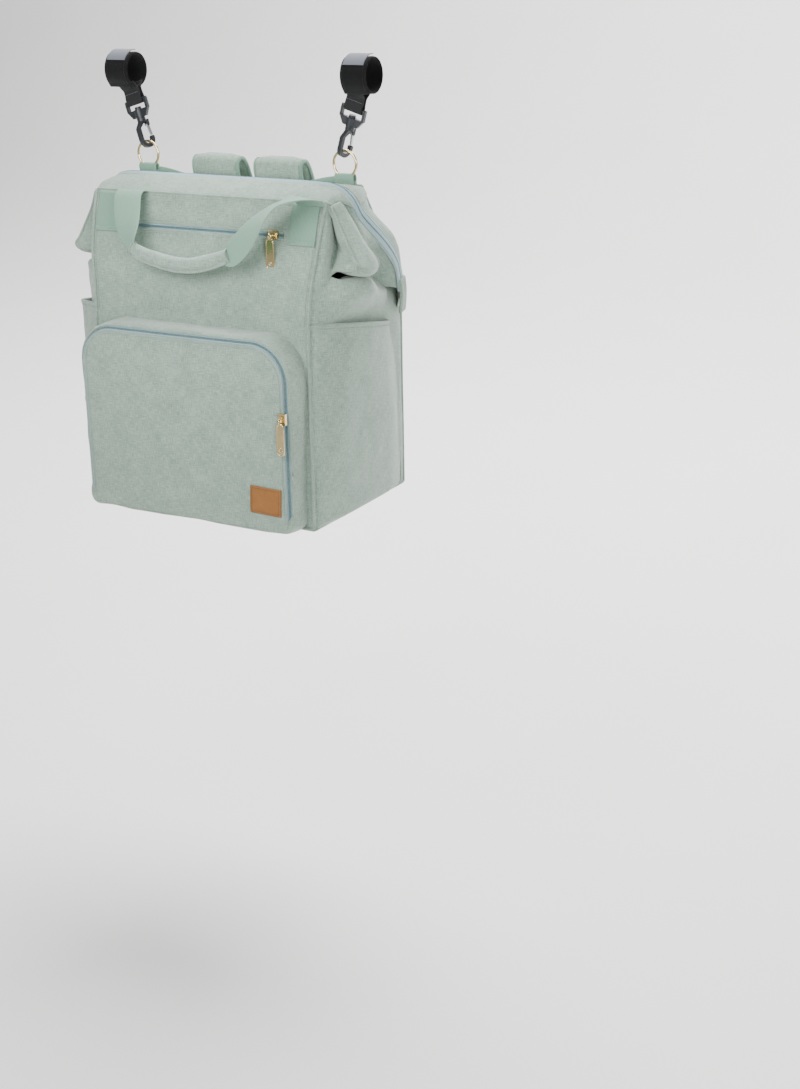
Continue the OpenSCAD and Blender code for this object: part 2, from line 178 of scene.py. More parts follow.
def put(obj, body, slot=None, *stands_for):
    """Rides a piece on a body, or leaves it fixed where it is when given a bend, and hides the nodes it
    replaces. The slot argument is not used.
    """
    if isinstance(body, str):
        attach(obj, body)
    else:
        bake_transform(obj)
    if stands_for:
        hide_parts(*stands_for)
    return obj


def shade_smooth(mesh):
    mesh.polygons.foreach_set("use_smooth", [True] * len(mesh.polygons))


def apply_modifiers(obj):
    dg = bpy.context.evaluated_depsgraph_get()
    mesh = bpy.data.meshes.new_from_object(obj.evaluated_get(dg), depsgraph=dg)
    obj.modifiers.clear()
    obj.data = mesh
    shade_smooth(mesh)
    return obj


def subdivide(obj):
    s = obj.modifiers.new("smooth", "SUBSURF")
    s.levels = s.render_levels = 1
    return apply_modifiers(obj)


class Mesh:
    """Gathers vertices, faces and lengthwise coordinates of one piece."""

    def __init__(self):
        self.v, self.f, self.uv = [], [], []
        self.count = 0

    def add(self, v, faces, s, t):
        """s and t are the lengthwise and crosswise distances of each vertex."""
        v = v.reshape(-1, 3)
        self.v.append(v)
        self.f += [tuple(i + self.count for i in face) for face in faces]
        self.uv.append(np.stack(np.broadcast_arrays(s, t), -1).reshape(-1, 2))
        self.count += len(v)
        return self

    def grid(self, g, flip=False):
        nv, nu = g.shape[:2]
        du = np.concatenate([[0], np.cumsum(np.linalg.norm(np.diff(g[nv // 2], axis=0), axis=1))])
        dv = np.concatenate([[0], np.cumsum(np.linalg.norm(np.diff(g[:, nu // 2], axis=0), axis=1))])
        faces = []
        for j in range(nv - 1):
            for i in range(nu - 1):
                q = (j * nu + i, j * nu + i + 1, (j + 1) * nu + i + 1, (j + 1) * nu + i)
                faces.append(q[::-1] if flip else q)
        return self.add(g, faces, du[None, :], dv[:, None])

    def sweep(self, path, profile, up, closed=False):
        """Draws a closed profile of (side, up) points, or one profile for each point, along a path."""
        n, m = len(path), profile.shape[-2]
        t = unit(np.roll(path, -1, 0) - np.roll(path, 1, 0)) if closed else tangents(path)
        side = unit(np.cross(t, np.broadcast_to(np.asarray(up, float), (n, 3))))
        prof = np.broadcast_to(profile, (n, m, 2))
        v = path[:, None] + prof[:, :, :1] * side[:, None] + prof[:, :, 1:] * np.cross(side, t)[:, None]
        s = np.concatenate([[0], np.cumsum(np.linalg.norm(np.diff(path, axis=0), axis=1))])
        girth = np.concatenate([[0], np.cumsum(np.linalg.norm(np.diff(prof[0], axis=0), axis=1))])
        faces = []
        for i in range(n if closed else n - 1):
            k = (i + 1) % n
            faces += [(i * m + j, k * m + j, k * m + (j + 1) % m, i * m + (j + 1) % m) for j in range(m)]
        if not closed:
            faces += [tuple(range(m)), tuple((n - 1) * m + j for j in reversed(range(m)))]
        return self.add(v, faces, s[:, None], girth[None, :])

    def tube(self, path, r, up, closed=False, n=10):
        return self.sweep(path, circle(r, n), up, closed)

    def stitches(self, path, up, pitch=3.4, length=2.3, r=0.32):
        """A row of separate thread stitches that lie along a path."""
        path = even(path, pitch / 2)
        ups = np.asarray(up, float)
        if ups.ndim == 1:
            ups = np.broadcast_to(ups, path.shape)
        profile = circle(r, 5) * np.array([0.35, 1, 1, 0.35])[:, None, None]
        for i in range(1, len(path) - 1, 2):
            a, b = path[i - 1], path[i + 1]
            mid, half = (a + b) / 2, (b - a) / 2 * (length / pitch)
            u = ups[min(i, len(ups) - 1)]
            pts = np.array([mid - half, mid - half * 0.5 + u * 0.22, mid + half * 0.5 + u * 0.22, mid + half])
            self.sweep(pts, profile, u)
        return self

    def build(self, name, material, body=None, slot=None, *stands_for, thick=0.0, lining=None):
        """Makes the object; thick gives a sheet its thickness and lining its inner side's material."""
        mesh = bpy.data.meshes.new(name)
        mesh.from_pydata(place(np.vstack(self.v)).tolist(), [], self.f)
        mesh.update()
        loops = np.empty(len(mesh.loops), int)
        mesh.loops.foreach_get("vertex_index", loops)
        uv = np.vstack(self.uv)[loops] / 1000
        mesh.uv_layers.new(name="UVMap").data.foreach_set("uv", uv.astype(np.float32).ravel())
        shade_smooth(mesh)
        mesh.materials.append(material)
        obj = bpy.data.objects.new(name, mesh)
        bpy.context.scene.collection.objects.link(obj)
        if thick:
            m = obj.modifiers.new("thick", "SOLIDIFY")
            m.thickness, m.offset, m.use_even_offset = thick / 1000, -1.0, False
            if lining:
                mesh.materials.append(lining)
                m.material_offset = 1
            apply_modifiers(obj)
        return put(obj, body, slot, *stands_for) if body else obj


def panel(name, g, thick, body, *stands_for, flip=False):
    """A lined sheet of the bag's fabric."""
    return Mesh().grid(g, flip).build(name, SAGE, body, FABRIC, *stands_for, thick=thick, lining=LINING)


# Materials -----------------------------------------------------------------------


def srgb(*rgb):
    return tuple(((c / 255 + 0.055) / 1.055) ** 2.4 if c > 10 else c / 255 / 12.92 for c in rgb) + (1.0,)


def toned(color, gain, lift=0.0):
    return tuple(min(1.0, c * gain + lift) for c in color[:3]) + (1.0,)


class Shader:
    """Builds a node material step by step."""

    def __init__(self, name, **sockets):
        self.mat = bpy.data.materials.new(name)
        self.mat.use_nodes = True
        self.tree = self.mat.node_tree
        self.bsdf = self.tree.nodes["Principled BSDF"]
        for k, v in sockets.items():
            self.bsdf.inputs[k.replace("_", " ")].default_value = v

    def node(self, kind, **values):
        n = self.tree.nodes.new("ShaderNode" + kind)
        for k, v in values.items():
            if hasattr(n, k):
                setattr(n, k, v)
            else:
                n.inputs[k.replace("_", " ")].default_value = v
        return n

    def link(self, a, b):
        self.tree.links.new(a, b)

    def feed(self, n, **sources):
        """Links or sets a node's sockets, named by their numbers as in i0=..."""
        for k, x in sources.items():
            socket = n.inputs[int(k[1:])]
            if isinstance(x, (int, float, tuple)):
                socket.default_value = x
            else:
                self.link(x, socket)
        return n

    def math(self, op, a, b=0.0):
        return self.feed(self.node("Math", operation=op), i0=a, i1=b).outputs[0]

    def mul(self, a, b):
        return self.math("MULTIPLY", a, b)

    def add(self, a, b):
        return self.math("ADD", a, b)

    def point(self, output="Object"):
        return self.node("TexCoord").outputs[output]

    def noise(self, source, scale=1.0, detail=2.0, rough=0.5):
        n = self.node("TexNoise", Scale=scale, Detail=detail, Roughness=rough)
        self.link(source, n.inputs["Vector"])
        return n.outputs["Fac"]

    def ramp(self, fac, *stops):
        n = self.node("ValToRGB")
        ends = n.color_ramp.elements
        ends[0].position, ends[0].color = stops[0]
        ends[1].position, ends[1].color = stops[-1]
        for pos, col in stops[1:-1]:
            ends.new(pos).color = col
        self.link(fac, n.inputs["Fac"])
        return n.outputs["Color"]

    def mix(self, fac, a, b):
        return self.feed(self.node("Mix", data_type="RGBA"), i0=fac, i6=a, i7=b).outputs[2]

    def bump(self, height, strength, distance):
        n = self.node("Bump", Strength=strength, Distance=distance)
        self.link(height, n.inputs["Height"])
        self.link(n.outputs["Normal"], self.bsdf.inputs["Normal"])

    def color(self, c):
        self.link(c, self.bsdf.inputs["Base Color"])

    def rough(self, fac, low, high):
        n = self.node("MapRange", To_Min=low, To_Max=high)
        self.link(fac, n.inputs["Value"])
        self.link(n.outputs["Result"], self.bsdf.inputs["Roughness"])

    def cloth_axes(self):
        """Two coordinates along the cloth, taken from the side that the surface faces."""
        p = self.feed(self.node("SeparateXYZ"), i0=self.point()).outputs
        n = self.feed(self.node("SeparateXYZ"), i0=self.point("Normal")).outputs
        ax, ay, az = (self.math("ABSOLUTE", n[i]) for i in range(3))
        side = self.math("GREATER_THAN", ax, self.math("MAXIMUM", ay, az))
        top = self.mul(self.math("GREATER_THAN", az, ay), self.math("SUBTRACT", 1.0, side))
        u = self.feed(self.node("Mix"), i0=side, i2=p[0], i3=p[1])
        v = self.feed(self.node("Mix"), i0=top, i2=p[2], i3=p[1])
        return u.outputs[0], v.outputs[0]

    def along(self):
        """Lengthwise and crosswise coordinates of a swept piece."""
        out = self.feed(self.node("SeparateXYZ"), i0=self.point("UV")).outputs
        return out[0], out[1]

    def threads(self, u, v, su, sv):
        """Noise drawn out along the thread that runs across the larger of the two scales."""
        c = self.feed(self.node("CombineXYZ"), i0=self.mul(u, su), i1=self.mul(v, sv))
        return self.noise(c.outputs[0], 1.0, 3.0, 0.65)

    def ribs(self, coord, pitch):
        return self.math("SINE", self.mul(coord, 2 * math.pi / pitch))


def melange(name, light, mid, dark, thread=0.0009, rough=0.86, sheen=0.35):
    """Heathered plain-weave polyester: uneven light and dark threads in both directions."""
    s = Shader(name, Sheen_Weight=sheen, Sheen_Roughness=0.55, Specular_IOR_Level=0.25)
    u, v = s.cloth_axes()
    warp, weft = s.threads(u, v, 1500, 130), s.threads(u, v, 110, 1450)
    mottle = s.noise(s.point(), 42.0, 3.0, 0.6)
    threads = s.add(s.mul(s.add(warp, weft), 0.42), s.mul(mottle, 0.16))
    c = s.ramp(threads, (0.36, dark), (0.5, mid), (0.64, light))
    s.color(s.mix(s.mul(s.noise(s.point(), 9.0, 2.0, 0.5), 0.22), c, mid))
    weave = s.mul(s.ribs(u, thread * 2), s.ribs(v, thread * 2))
    s.bump(s.add(s.mul(weave, 0.5), threads), 0.42, 0.00035)
    s.rough(threads, rough - 0.1, rough + 0.06)
    return s.mat


def webbing(name, light, dark, pitch=0.0016, rough=0.7, sheen=0.25):
    """Woven tape: ribs along its length crossed by fine weft."""
    s = Shader(name, Sheen_Weight=sheen, Sheen_Roughness=0.5, Specular_IOR_Level=0.35)
    u, v = s.along()
    rib, weft = s.ribs(v, pitch), s.ribs(u, pitch * 0.8)
    fuzz = s.noise(s.point(), 900.0, 3.0, 0.6)
    h = s.add(s.add(s.mul(rib, 0.6), s.mul(s.mul(rib, weft), 0.5)), fuzz)
    s.color(s.ramp(s.add(s.mul(h, 0.28), 0.3), (0.1, dark), (0.75, light)))
    s.bump(h, 0.5, 0.0004)
    s.rough(fuzz, rough - 0.08, rough + 0.1)
    return s.mat


def coil(name, light, dark):
    """Nylon zip coil: turns across the zip's length, with painted shade in the grooves between them."""
    s = Shader(name, Roughness=0.42, Specular_IOR_Level=0.5)
    turn = s.ribs(s.along()[0], 0.0013)
    grain = s.noise(s.point(), 400.0, 2.0, 0.5)
    # Painted shade: the colour runs to the dark, shaded tone in the grooves between turns; the grain noise
    # adds random tone
    s.color(s.ramp(s.add(s.mul(turn, 0.35), grain), (0.15, dark), (0.85, light)))
    s.bump(turn, 0.9, 0.0006)
    return s.mat


def metal(name, color, rough):
    s = Shader(name, Metallic=1.0)
    drawn = s.feed(s.node("VectorMath", operation="MULTIPLY"), i0=s.point(), i1=(400, 400, 2600))
    fine = s.noise(drawn.outputs[0], 1.0, 3.0, 0.6)
    wide = s.noise(s.point(), 90.0, 3.0, 0.55)
    s.color(s.mix(wide, toned(color, 0.8), color))
    s.rough(s.mul(s.add(fine, wide), 0.5), rough * 0.7, rough * 1.5)
    s.bump(fine, 0.08, 0.0001)
    return s.mat


def plastic(name, color, rough):
    s = Shader(name, Specular_IOR_Level=0.35)
    grain = s.noise(s.point(), 1400.0, 3.0, 0.6)
    s.color(s.mix(s.noise(s.point(), 60.0, 2.0, 0.5), color, toned(color, 1.3, 0.003)))
    s.rough(grain, rough - 0.08, rough + 0.12)
    s.bump(grain, 0.25, 0.0002)
    return s.mat


def leather(name, color, dark):
    s = Shader(name, Specular_IOR_Level=0.4)
    cells = s.feed(s.node("TexVoronoi", Scale=1300.0, feature="DISTANCE_TO_EDGE"), i0=s.point())
    wide = s.noise(s.point(), 120.0, 4.0, 0.6)
    s.color(s.mix(s.mul(wide, 0.7), color, dark))
    s.rough(wide, 0.45, 0.7)
    s.bump(s.add(s.mul(cells.outputs["Distance"], 3.0), s.mul(wide, 0.6)), 0.35, 0.0003)
    return s.mat


def pile(name, color, lint):
    """Hook-and-loop tape: short looped pile."""
    s = Shader(name, Roughness=0.95, Sheen_Weight=0.06, Sheen_Roughness=0.6, Specular_IOR_Level=0.08)
    loops = s.noise(s.point(), 1500.0, 4.0, 0.75)
    wide = s.noise(s.point(), 160.0, 3.0, 0.6)
    s.color(s.mix(s.mul(s.mul(loops, wide), 0.8), color, lint))
    s.bump(loops, 0.7, 0.0009)
    return s.mat


SAGE = melange("sage_melange", srgb(168, 186, 172), srgb(132, 153, 139), srgb(92, 116, 102))
LINING = melange(
    "lining_cloth", srgb(196, 194, 184), srgb(180, 178, 168), srgb(160, 158, 148), 0.0005, sheen=0.2
)
PIPING = melange("piping_cloth", srgb(162, 178, 166), srgb(132, 152, 139), srgb(104, 126, 114), 0.0006)
MESH_PAD = melange("pad_mesh", srgb(150, 167, 154), srgb(118, 138, 125), srgb(86, 108, 96), 0.0016, 0.92)
MINT = webbing("mint_webbing", srgb(134, 168, 148), srgb(96, 134, 115))
TAPE = webbing("zip_tape", srgb(156, 186, 192), srgb(124, 155, 163), 0.0009)
THREAD = webbing("thread", srgb(158, 176, 164), srgb(116, 140, 128), 0.0006)
BLACK_WEB = webbing("black_webbing", srgb(28, 28, 30), srgb(9, 9, 10), rough=0.75, sheen=0.06)
LABEL = webbing("label_grey", srgb(104, 108, 118), srgb(74, 78, 88), 0.0008)
# The coil's dark tone is painted shade for the grooves between its turns
COIL = coil("zip_coil", srgb(128, 158, 163), srgb(84, 114, 120))
GOLD = metal("pale_gold", srgb(236, 212, 160), 0.2)
STEEL = metal("wire_steel", srgb(196, 198, 202), 0.28)
TAN = leather("patch_leather", srgb(150, 100, 47), srgb(119, 74, 34))
TAN_THREAD = leather("patch_edge", srgb(124, 80, 46), srgb(96, 60, 34))
BLACK_PILE = pile("hook_and_loop", srgb(9, 9, 10), srgb(34, 34, 36))
PLASTIC = plastic("hook_plastic", srgb(34, 36, 40), 0.34)
PLASTIC_DARK = plastic("adjuster_plastic", srgb(38, 40, 44), 0.45)
BOARD = plastic("stiffening_board", srgb(150, 146, 136), 0.7)

# Front panel and yoke ----------------------------------------------------------------

PANEL_TOP = 348.0
FRONT = spline([
    (0.5, 0), (2.6, 50), (6, 110), (10, 165), (13, 217), (17.3, 262), (20.8, 282), (25.3, 298),
    (32.5, 322), (41, PANEL_TOP),
], 300)
WIDTH_Z = [0, 60, 120, 217, 250, 289, 330, PANEL_TOP]
WIDTH_X = [147.0, 145.8, 143, 139.8, 141.5, 146, 148.6, 149.2]
ZIP_Z, ZIP_HALF = 313.0, 104.0
YOKE_UP, YOKE_ALONG = np.array([0, -0.957, 0.29]), np.array([0, 0.29, 0.957])  # away from the yoke, and up it


def half_width(z):
    return np.interp(z, WIDTH_Z, WIDTH_X)


def front_point(x, z, out=0.0):
    """A point on the front panel's outer face, which bows forward between its side seams."""
    x, z = np.broadcast_arrays(np.asarray(x, float), np.asarray(z, float))
    bow = 3.2 * np.sin(np.clip(z / PANEL_TOP, 0, 1) * math.pi) ** 0.7 * (1 - np.abs(x / half_width(z)) ** 2.5)
    return xyz(x, np.interp(z, FRONT[:, 1], FRONT[:, 0]) - bow - out, z)


def zip_run(path, up):
    """Two rows of coil side by side along a path."""
    m, side = Mesh(), np.cross(tangents(path), up)
    for s in (-0.62, 0.62):
        m.sweep(path + side * s, circle(0.6, 8) * (1.1, 0.9), up)
    return m


slot_rows = [ZIP_Z - 2.3, ZIP_Z, ZIP_Z + 2.3]
z_rows = np.concatenate([np.linspace(1, 309.8, 96), slot_rows, np.linspace(316.4, PANEL_TOP, 12)])
s_cols = np.linspace(-1, 1, 97)
g = front_point(s_cols * half_width(z_rows)[:, None], z_rows[:, None])
for size, depth, seed in ((55, 1.5, 3.1), (20, 0.45, 7.7)):
    g[..., 1] += wrinkle(g, size, depth, seed) * (1 - s_cols**4)
m = Mesh().grid(g)
in_slot = (np.abs(m.v[0][:, 0]) < ZIP_HALF + 1) & (np.abs(m.v[0][:, 2] - ZIP_Z) < 2.5)
m.f = [f for f in m.f if not all(in_slot[i] for i in f)]
m.build("front_shell", SAGE, YOKE_BEND, FABRIC, "front_panel", "front_upper_panel", thick=2.2, lining=LINING)

line = front_point(np.arange(-ZIP_HALF, ZIP_HALF + 0.1, 2.0), ZIP_Z)
tape = Mesh().sweep(line - YOKE_UP * 1.9, flat(12.5, 0.8), YOKE_UP)
tape.build("upper_zip_tape", TAPE, YOKE_BEND, ZIP_SLOT, "upper_zip")
zip_run(line - YOKE_UP * 0.9, YOKE_UP).build("upper_zip_coil", COIL, YOKE_BEND)
lips, thread, piping = Mesh(), Mesh(), Mesh()
thread.stitches(front_point(np.linspace(-146, 146, 80), 344.6, 0.5), YOKE_UP)
for s in (-1, 1):
    lips.tube(line + YOKE_ALONG * s * 4.2 - YOKE_UP * 0.55, 1.0, YOKE_UP)
    end = front_point(s * (ZIP_HALF + 1.2), np.linspace(ZIP_Z - 4.2, ZIP_Z + 4.2, 5))
    lips.tube(end - YOKE_UP * 0.5, 0.9, YOKE_UP)
    thread.stitches(front_point(np.linspace(-ZIP_HALF - 6, ZIP_HALF + 6, 60), ZIP_Z + s * 6.3, 0.35), YOKE_UP)
    z = np.linspace(222, 344, 60)
    thread.stitches(front_point(s * (half_width(z) - 4.0), z, 0.4), (0, -1, 0.1))
    z = np.linspace(2, 347.5, 110)
    piping.tube(front_point(s * half_width(z), z) + (s * 0.4, -0.6, 0), 1.7, (0, -1, 0), n=8)
lips.build("upper_zip_lips", PIPING, YOKE_BEND)
thread.build("front_stitches", THREAD, YOKE_BEND)
piping.build("front_seam_piping", PIPING, YOKE_BEND, FABRIC, "seam_piping")
m = Mesh().tube(front_point(np.linspace(-148.5, 148.5, 90), PANEL_TOP, 0.1), 1.1, YOKE_UP, n=8)
m.build("top_seam_piping", PIPING, "front_frame", FABRIC)

# Side panels, gussets and the covered legs of the front frame -------------------------

LOWER_SIDE = [
    [(147, 1.5, 1), (148.5, 12, 1), (149, 50, 0.6), (149, 100, 0.6), (149, 150, 0.6), (148.5, 190, 1),
     (147, 199.5, 1)],
    at_height(40, (146.3, 2.6), (149.5, 13), (152, 50), (153, 100), (152.5, 150), (150, 190),
              (147, 200.5)),
    at_height(100, (144.2, 5.8), (149, 16), (153, 50), (154, 100), (153, 150), (150, 190), (147, 200.5)),
    at_height(160, (142, 10), (147.5, 20), (153, 50), (154, 100), (152, 148), (150, 188), (147, 200.5)),
    at_height(200, (140.4, 12.5), (147, 24), (154, 52), (157, 95), (154, 140), (150, 180), (147, 200)),
    at_height(222, (140, 13.8), (148.5, 26.5), (157, 52), (161.5, 92), (158, 138), (150, 170), (147, 197)),
    [(141, 15, 240), (150.5, 29, 240), (169, 55, 240), (174, 90, 240), (163, 140, 238), (149.5, 163, 238),
     (146.5, 190, 238)],
    [(142.3, 16.2, 252), (152.3, 31, 252), (177, 56, 252), (180, 87, 251), (161, 132, 246),
     (147.5, 158, 246), (146, 184, 246)],
    [(143.4, 17.2, 262), (153.6, 33, 262), (177.5, 53, 262.5), (178, 83, 261.5), (155, 122, 255),
     (146, 155, 254), (145, 178, 254)],
    [(143.8, 18.8, 270), (153.4, 34.4, 270), (169, 50, 267.4), (168, 78, 266.6), (149, 115, 261),
     (144, 152, 262), (144, 172, 262)],
    [(143.4, 20.8, 276), (152, 35.6, 276), (152, 48, 267), (150, 74, 266.4), (143, 113, 265),
     (142, 150, 268), (143, 166, 268)],
]
STRIP = [
    at_height(259, (142, 17.6), (148.4, 25), (152, 33.6)),
    at_height(270, (144.8, 18.4), (150.9, 25.5), (155, 34.4)),
    at_height(285, (145.8, 21.9), (151.8, 27.5), (155.4, 35.4)),
    at_height(300, (147, 26.2), (152.6, 31), (155.6, 37.4)),
    at_height(320, (148.2, 32), (152.8, 35.8), (154.8, 41)),
    at_height(336, (149, 37), (151.8, 40), (152.6, 44.6)),
    [(149.4, 40.6, 347), (150.8, 43, 346.6), (151.2, 46.5, 346)],
]
RECESS = [
    [(154.6, 34, 271), (158, 45, 275.5), (168, 46, 276), (179, 47, 276)],
    [(154.8, 34.6, 277), (157, 40, 279), (170, 36.5, 280), (183.2, 40.6, 279.6)],
    [(155.2, 35, 282), (152, 48, 288), (168, 40, 289), (184, 39.8, 285)],
    [(155.6, 36.6, 296), (149, 58, 299), (163, 48.5, 299.5), (177.3, 42.6, 296)],
    [(155.4, 39.4, 311), (149, 59, 311), (158, 48.5, 310), (170, 43.6, 309)],
    at_height(325, (154.4, 42), (150.5, 52), (155.5, 46.4), (162, 44.6)),
    [(151.4, 44, 343), (151.4, 46, 343.4), (152.4, 45.2, 343.8), (153.6, 43.6, 344.2)],
]
WEDGE = [
    [(157, 50, 276), (158, 58, 272), (158, 66, 270.5), (158, 74, 271), (157, 82, 273.5)],
    [(171, 45, 276), (173, 54, 271.5), (174, 64, 269.5), (173, 76, 270.5), (171, 85, 273)],
    [(182.5, 41.5, 279), (188, 51, 274), (189.2, 63, 271.5), (187, 77, 272.5), (183, 87, 275.5)],
    [(184.6, 39.8, 285), (191, 50, 282), (193, 62, 280), (190.5, 76, 281), (184.8, 86.6, 282)],
    at_height(292, (180, 41.5), (185.5, 50.5), (189.6, 62), (187, 74), (180, 82)),
    [(172, 43.4, 307), (174.2, 51, 307.3), (179.4, 62, 307), (177.4, 71, 306), (171.5, 76, 305)],
    [(162.2, 44.8, 325), (164.6, 50.5, 326), (168.4, 60.5, 327), (166.4, 68, 326.5), (160.6, 72, 326)],
    [(153.6, 43.6, 344.4), (154.8, 49.5, 346.2), (155.8, 57.5, 347.6), (154.8, 63.5, 347.8),
     (152.6, 68, 346.8)],
]
FRONT_GUSSET = [
    [(155, 84, 271), (147, 106, 258), (145, 135, 246), (159, 163, 240)],
    [(168, 86, 273), (151, 104, 264), (147, 128, 258), (164, 156, 252)],
    [(182, 87, 277), (155, 102, 272), (149, 124, 268), (167.5, 145.5, 266.5)],
    [(184.8, 86.6, 283), (159, 100, 281), (153, 117, 279), (170, 131.5, 280.5)],
    [(178.6, 80.6, 294), (164, 94, 292), (159, 107, 290), (170, 118, 294)],
    [(173, 77, 302.5), (170.5, 90, 302), (169.6, 98, 300), (170, 106, 299)],
    [(168, 75, 311.5), (170, 81, 313), (169.6, 88, 313), (168.4, 94, 311)],
    [(160.6, 72, 326), (163.8, 75.6, 327), (164.6, 79, 327), (164.6, 83.5, 327)],
    [(152.6, 68, 346.8), (154.8, 70, 345), (156.8, 72, 343.6), (158.4, 74.6, 342.4)],
]
BACK_GUSSET = [
    [(153, 180, 212), (151, 188, 211), (148.8, 194, 210), (147, 200, 209)],
    [(163, 176, 232), (156, 185, 231), (149.5, 191, 229), (146.6, 197.4, 227)],
    [(168, 171, 248), (161, 179, 248), (150, 184, 243), (146.5, 190.5, 244)],
    [(170.5, 163, 264), (164.5, 171, 267), (150, 174, 260), (146.5, 181, 262)],
    [(173.5, 150, 280), (168, 161, 285), (150.5, 163, 277), (146.5, 170, 279)],
    [(173.6, 135, 297), (168.5, 147, 303), (152, 152, 295), (146.5, 160, 296)],
    [(171, 118, 312.5), (163, 132, 318), (150.5, 139, 312), (146.6, 148, 313)],
    [(167, 103, 328), (160, 115, 333), (152.5, 124, 330), (147, 136, 331)],
    [(160.6, 93, 342), (159.5, 104, 343), (156, 116, 344), (149.4, 124.5, 345)],
]
ZIP_LINE = [
    (0, 77, 364), (60, 77, 364), (118, 77, 363.8), (138, 77.2, 362.2), (148, 78.2, 358.4),
    (155.6, 80.2, 352), (161, 83.2, 342.6), (164.6, 88.4, 329.6), (168.6, 100.5, 316.6),
    (172.2, 116.5, 302), (174.4, 133.5, 285.4), (172.8, 148.5, 270.6), (169.4, 159.4, 256.6),
    (167.6, 165, 246.6), (167.2, 168, 238),
]
ZIP_UP = [
    (0, 0, 1), (0, 0, 1), (0.08, 0, 1), (0.3, 0, 0.95), (0.62, 0, 0.8), (0.84, -0.04, 0.54),
    (0.95, -0.08, 0.3), (0.98, -0.06, 0.18), (0.98, -0.1, 0.16), (0.98, 0, 0.16), (0.99, 0.08, 0.1),
    (0.98, 0.16, 0.06), (0.98, 0.18, 0), (0.99, 0.14, 0), (1, 0.08, 0),
]
# How much fuller the left lower side is, at its middle rows and columns
LEFT_FULLER = [(6, 9, 5), (9, 14, 8), (9, 11, 5), (7, 6, 2), (2, 3, 0)]


def for_side(points, side, fuller=False):
    """Control points for one side; the left one is drawn in to the straight left zip."""
    p = np.array(points, float)
    if side < 0:
        if fuller:
            p[4:9, 1:4, 0] += LEFT_FULLER
        back = np.clip((p[..., 1] - 84) / 16, 0, 1)
        p[..., 0] -= np.maximum(p[..., 0] - 164, 0) * 0.62 * back
    return p * (side, 1, 1)


def zip_half(side):
    """One half of the main zip's line, with the direction away from the bag beside each point."""
    up = np.array(ZIP_UP, float) * (side, 1, 1)
    return np.hstack([spline(for_side(ZIP_LINE, side), 420), spline(up, 420)])


both = even(np.vstack([zip_half(-1)[::-1], zip_half(1)[1:]]), 3.0)
zip_path, zip_up = both[:, :3], unit(both[:, 3:])
zip_front = unit(np.cross(tangents(zip_path), zip_up))


def zip_offset(s, lift=0.0):
    """The zip's line moved s forward over the bag, and away from it by lift."""
    slope = 0.32 * np.clip(zip_up[:, 2:], 0, 1) + 0.1
    return zip_path + zip_front * s + zip_up * (lift - abs(s) * slope)


def reach(g, s, side):
    """Draw the zip side of a gusset's grid to the edge of the zip's tape."""
    edge = zip_offset(s * 5.6, 0.5)
    edge = edge[edge[:, 0] * side > 0]
    k = -1 if s > 0 else 0
    near = np.linalg.norm(g[:, k][:, None] - edge[None], axis=2)
    move = edge[near.argmin(1)] - g[:, k]
    move *= np.clip(15 / np.maximum(np.linalg.norm(move, axis=1, keepdims=True), 1e-6), 0, 1)
    v = np.linspace(0, 1, g.shape[1])
    w = np.clip(1 - (1 - v if s > 0 else v) / 0.34, 0, 1) ** 1.5
    return g + move[:, None] * w[None, :, None]


# Piece, control net, columns, rows, fine and deep crumpling, seed, thickness, body, side of the zip, node
SIDE_PIECES = (
    ("side_lower", LOWER_SIDE, 60, 90, 0.5, 1.6, 1.3, 2.0, YOKE_BEND, 0, "side_panel"),
    ("front_strip", STRIP, 12, 44, 0.2, 0.3, 2.1, 1.6, YOKE_BEND, 0, None),
    ("frame_recess", RECESS, 20, 50, 0.3, 0.6, 2.9, 1.2, YOKE_BEND, 0, None),
    ("frame_cover", WEDGE, 28, 60, 0.35, 0.8, 4.2, 1.2, "front_frame", 0, None),
    ("front_gusset", FRONT_GUSSET, 30, 60, 0.5, 1.2, 5.2, 1.2, GUSSET_BEND, 1, None),
    ("back_gusset", BACK_GUSSET, 30, 70, 0.6, 1.6, 6.2, 1.2, "bag", -1, "gusset"),
)
grids = {}
for side, word in SIDES:
    for name, control, nu, nv, fine, deep, seed, thick, body, zip_side, node in SIDE_PIECES:
        g = net(for_side(control, side, control is LOWER_SIDE), nu, nv)
        if zip_side:
            g = reach(g, zip_side, side)
        grids[name] = g = crumple(crumple(g, 38, deep, seed + side), 15, fine, seed + 5 * side)
        panel(f"{word}_{name}", g, thick, body, *([f"{word}_{node}"] if node else []), flip=side < 0)
    # Stitched seams along both edges of the frame cover
    seams, thread, cover = Mesh(), Mesh(), grids["frame_cover"][14:]
    for k, inner in ((0, 3), (-1, -4)):
        seams.tube(even(cover[:, k], 3) + (side * 0.7, -0.4, 0), 1.2, (side, 0, 0), n=7)
        thread.stitches(even(cover[:, inner], 2) + (side * 0.5, 0, 0), (side, 0, 0), 3.2, 2.1, 0.26)
    seams.build(f"{word}_cover_seams", PIPING, "front_frame", FABRIC)
    thread.build(f"{word}_cover_stitches", THREAD, "front_frame")

# Main zip: each half of its tape and coil on its own side of the mouth ------------------

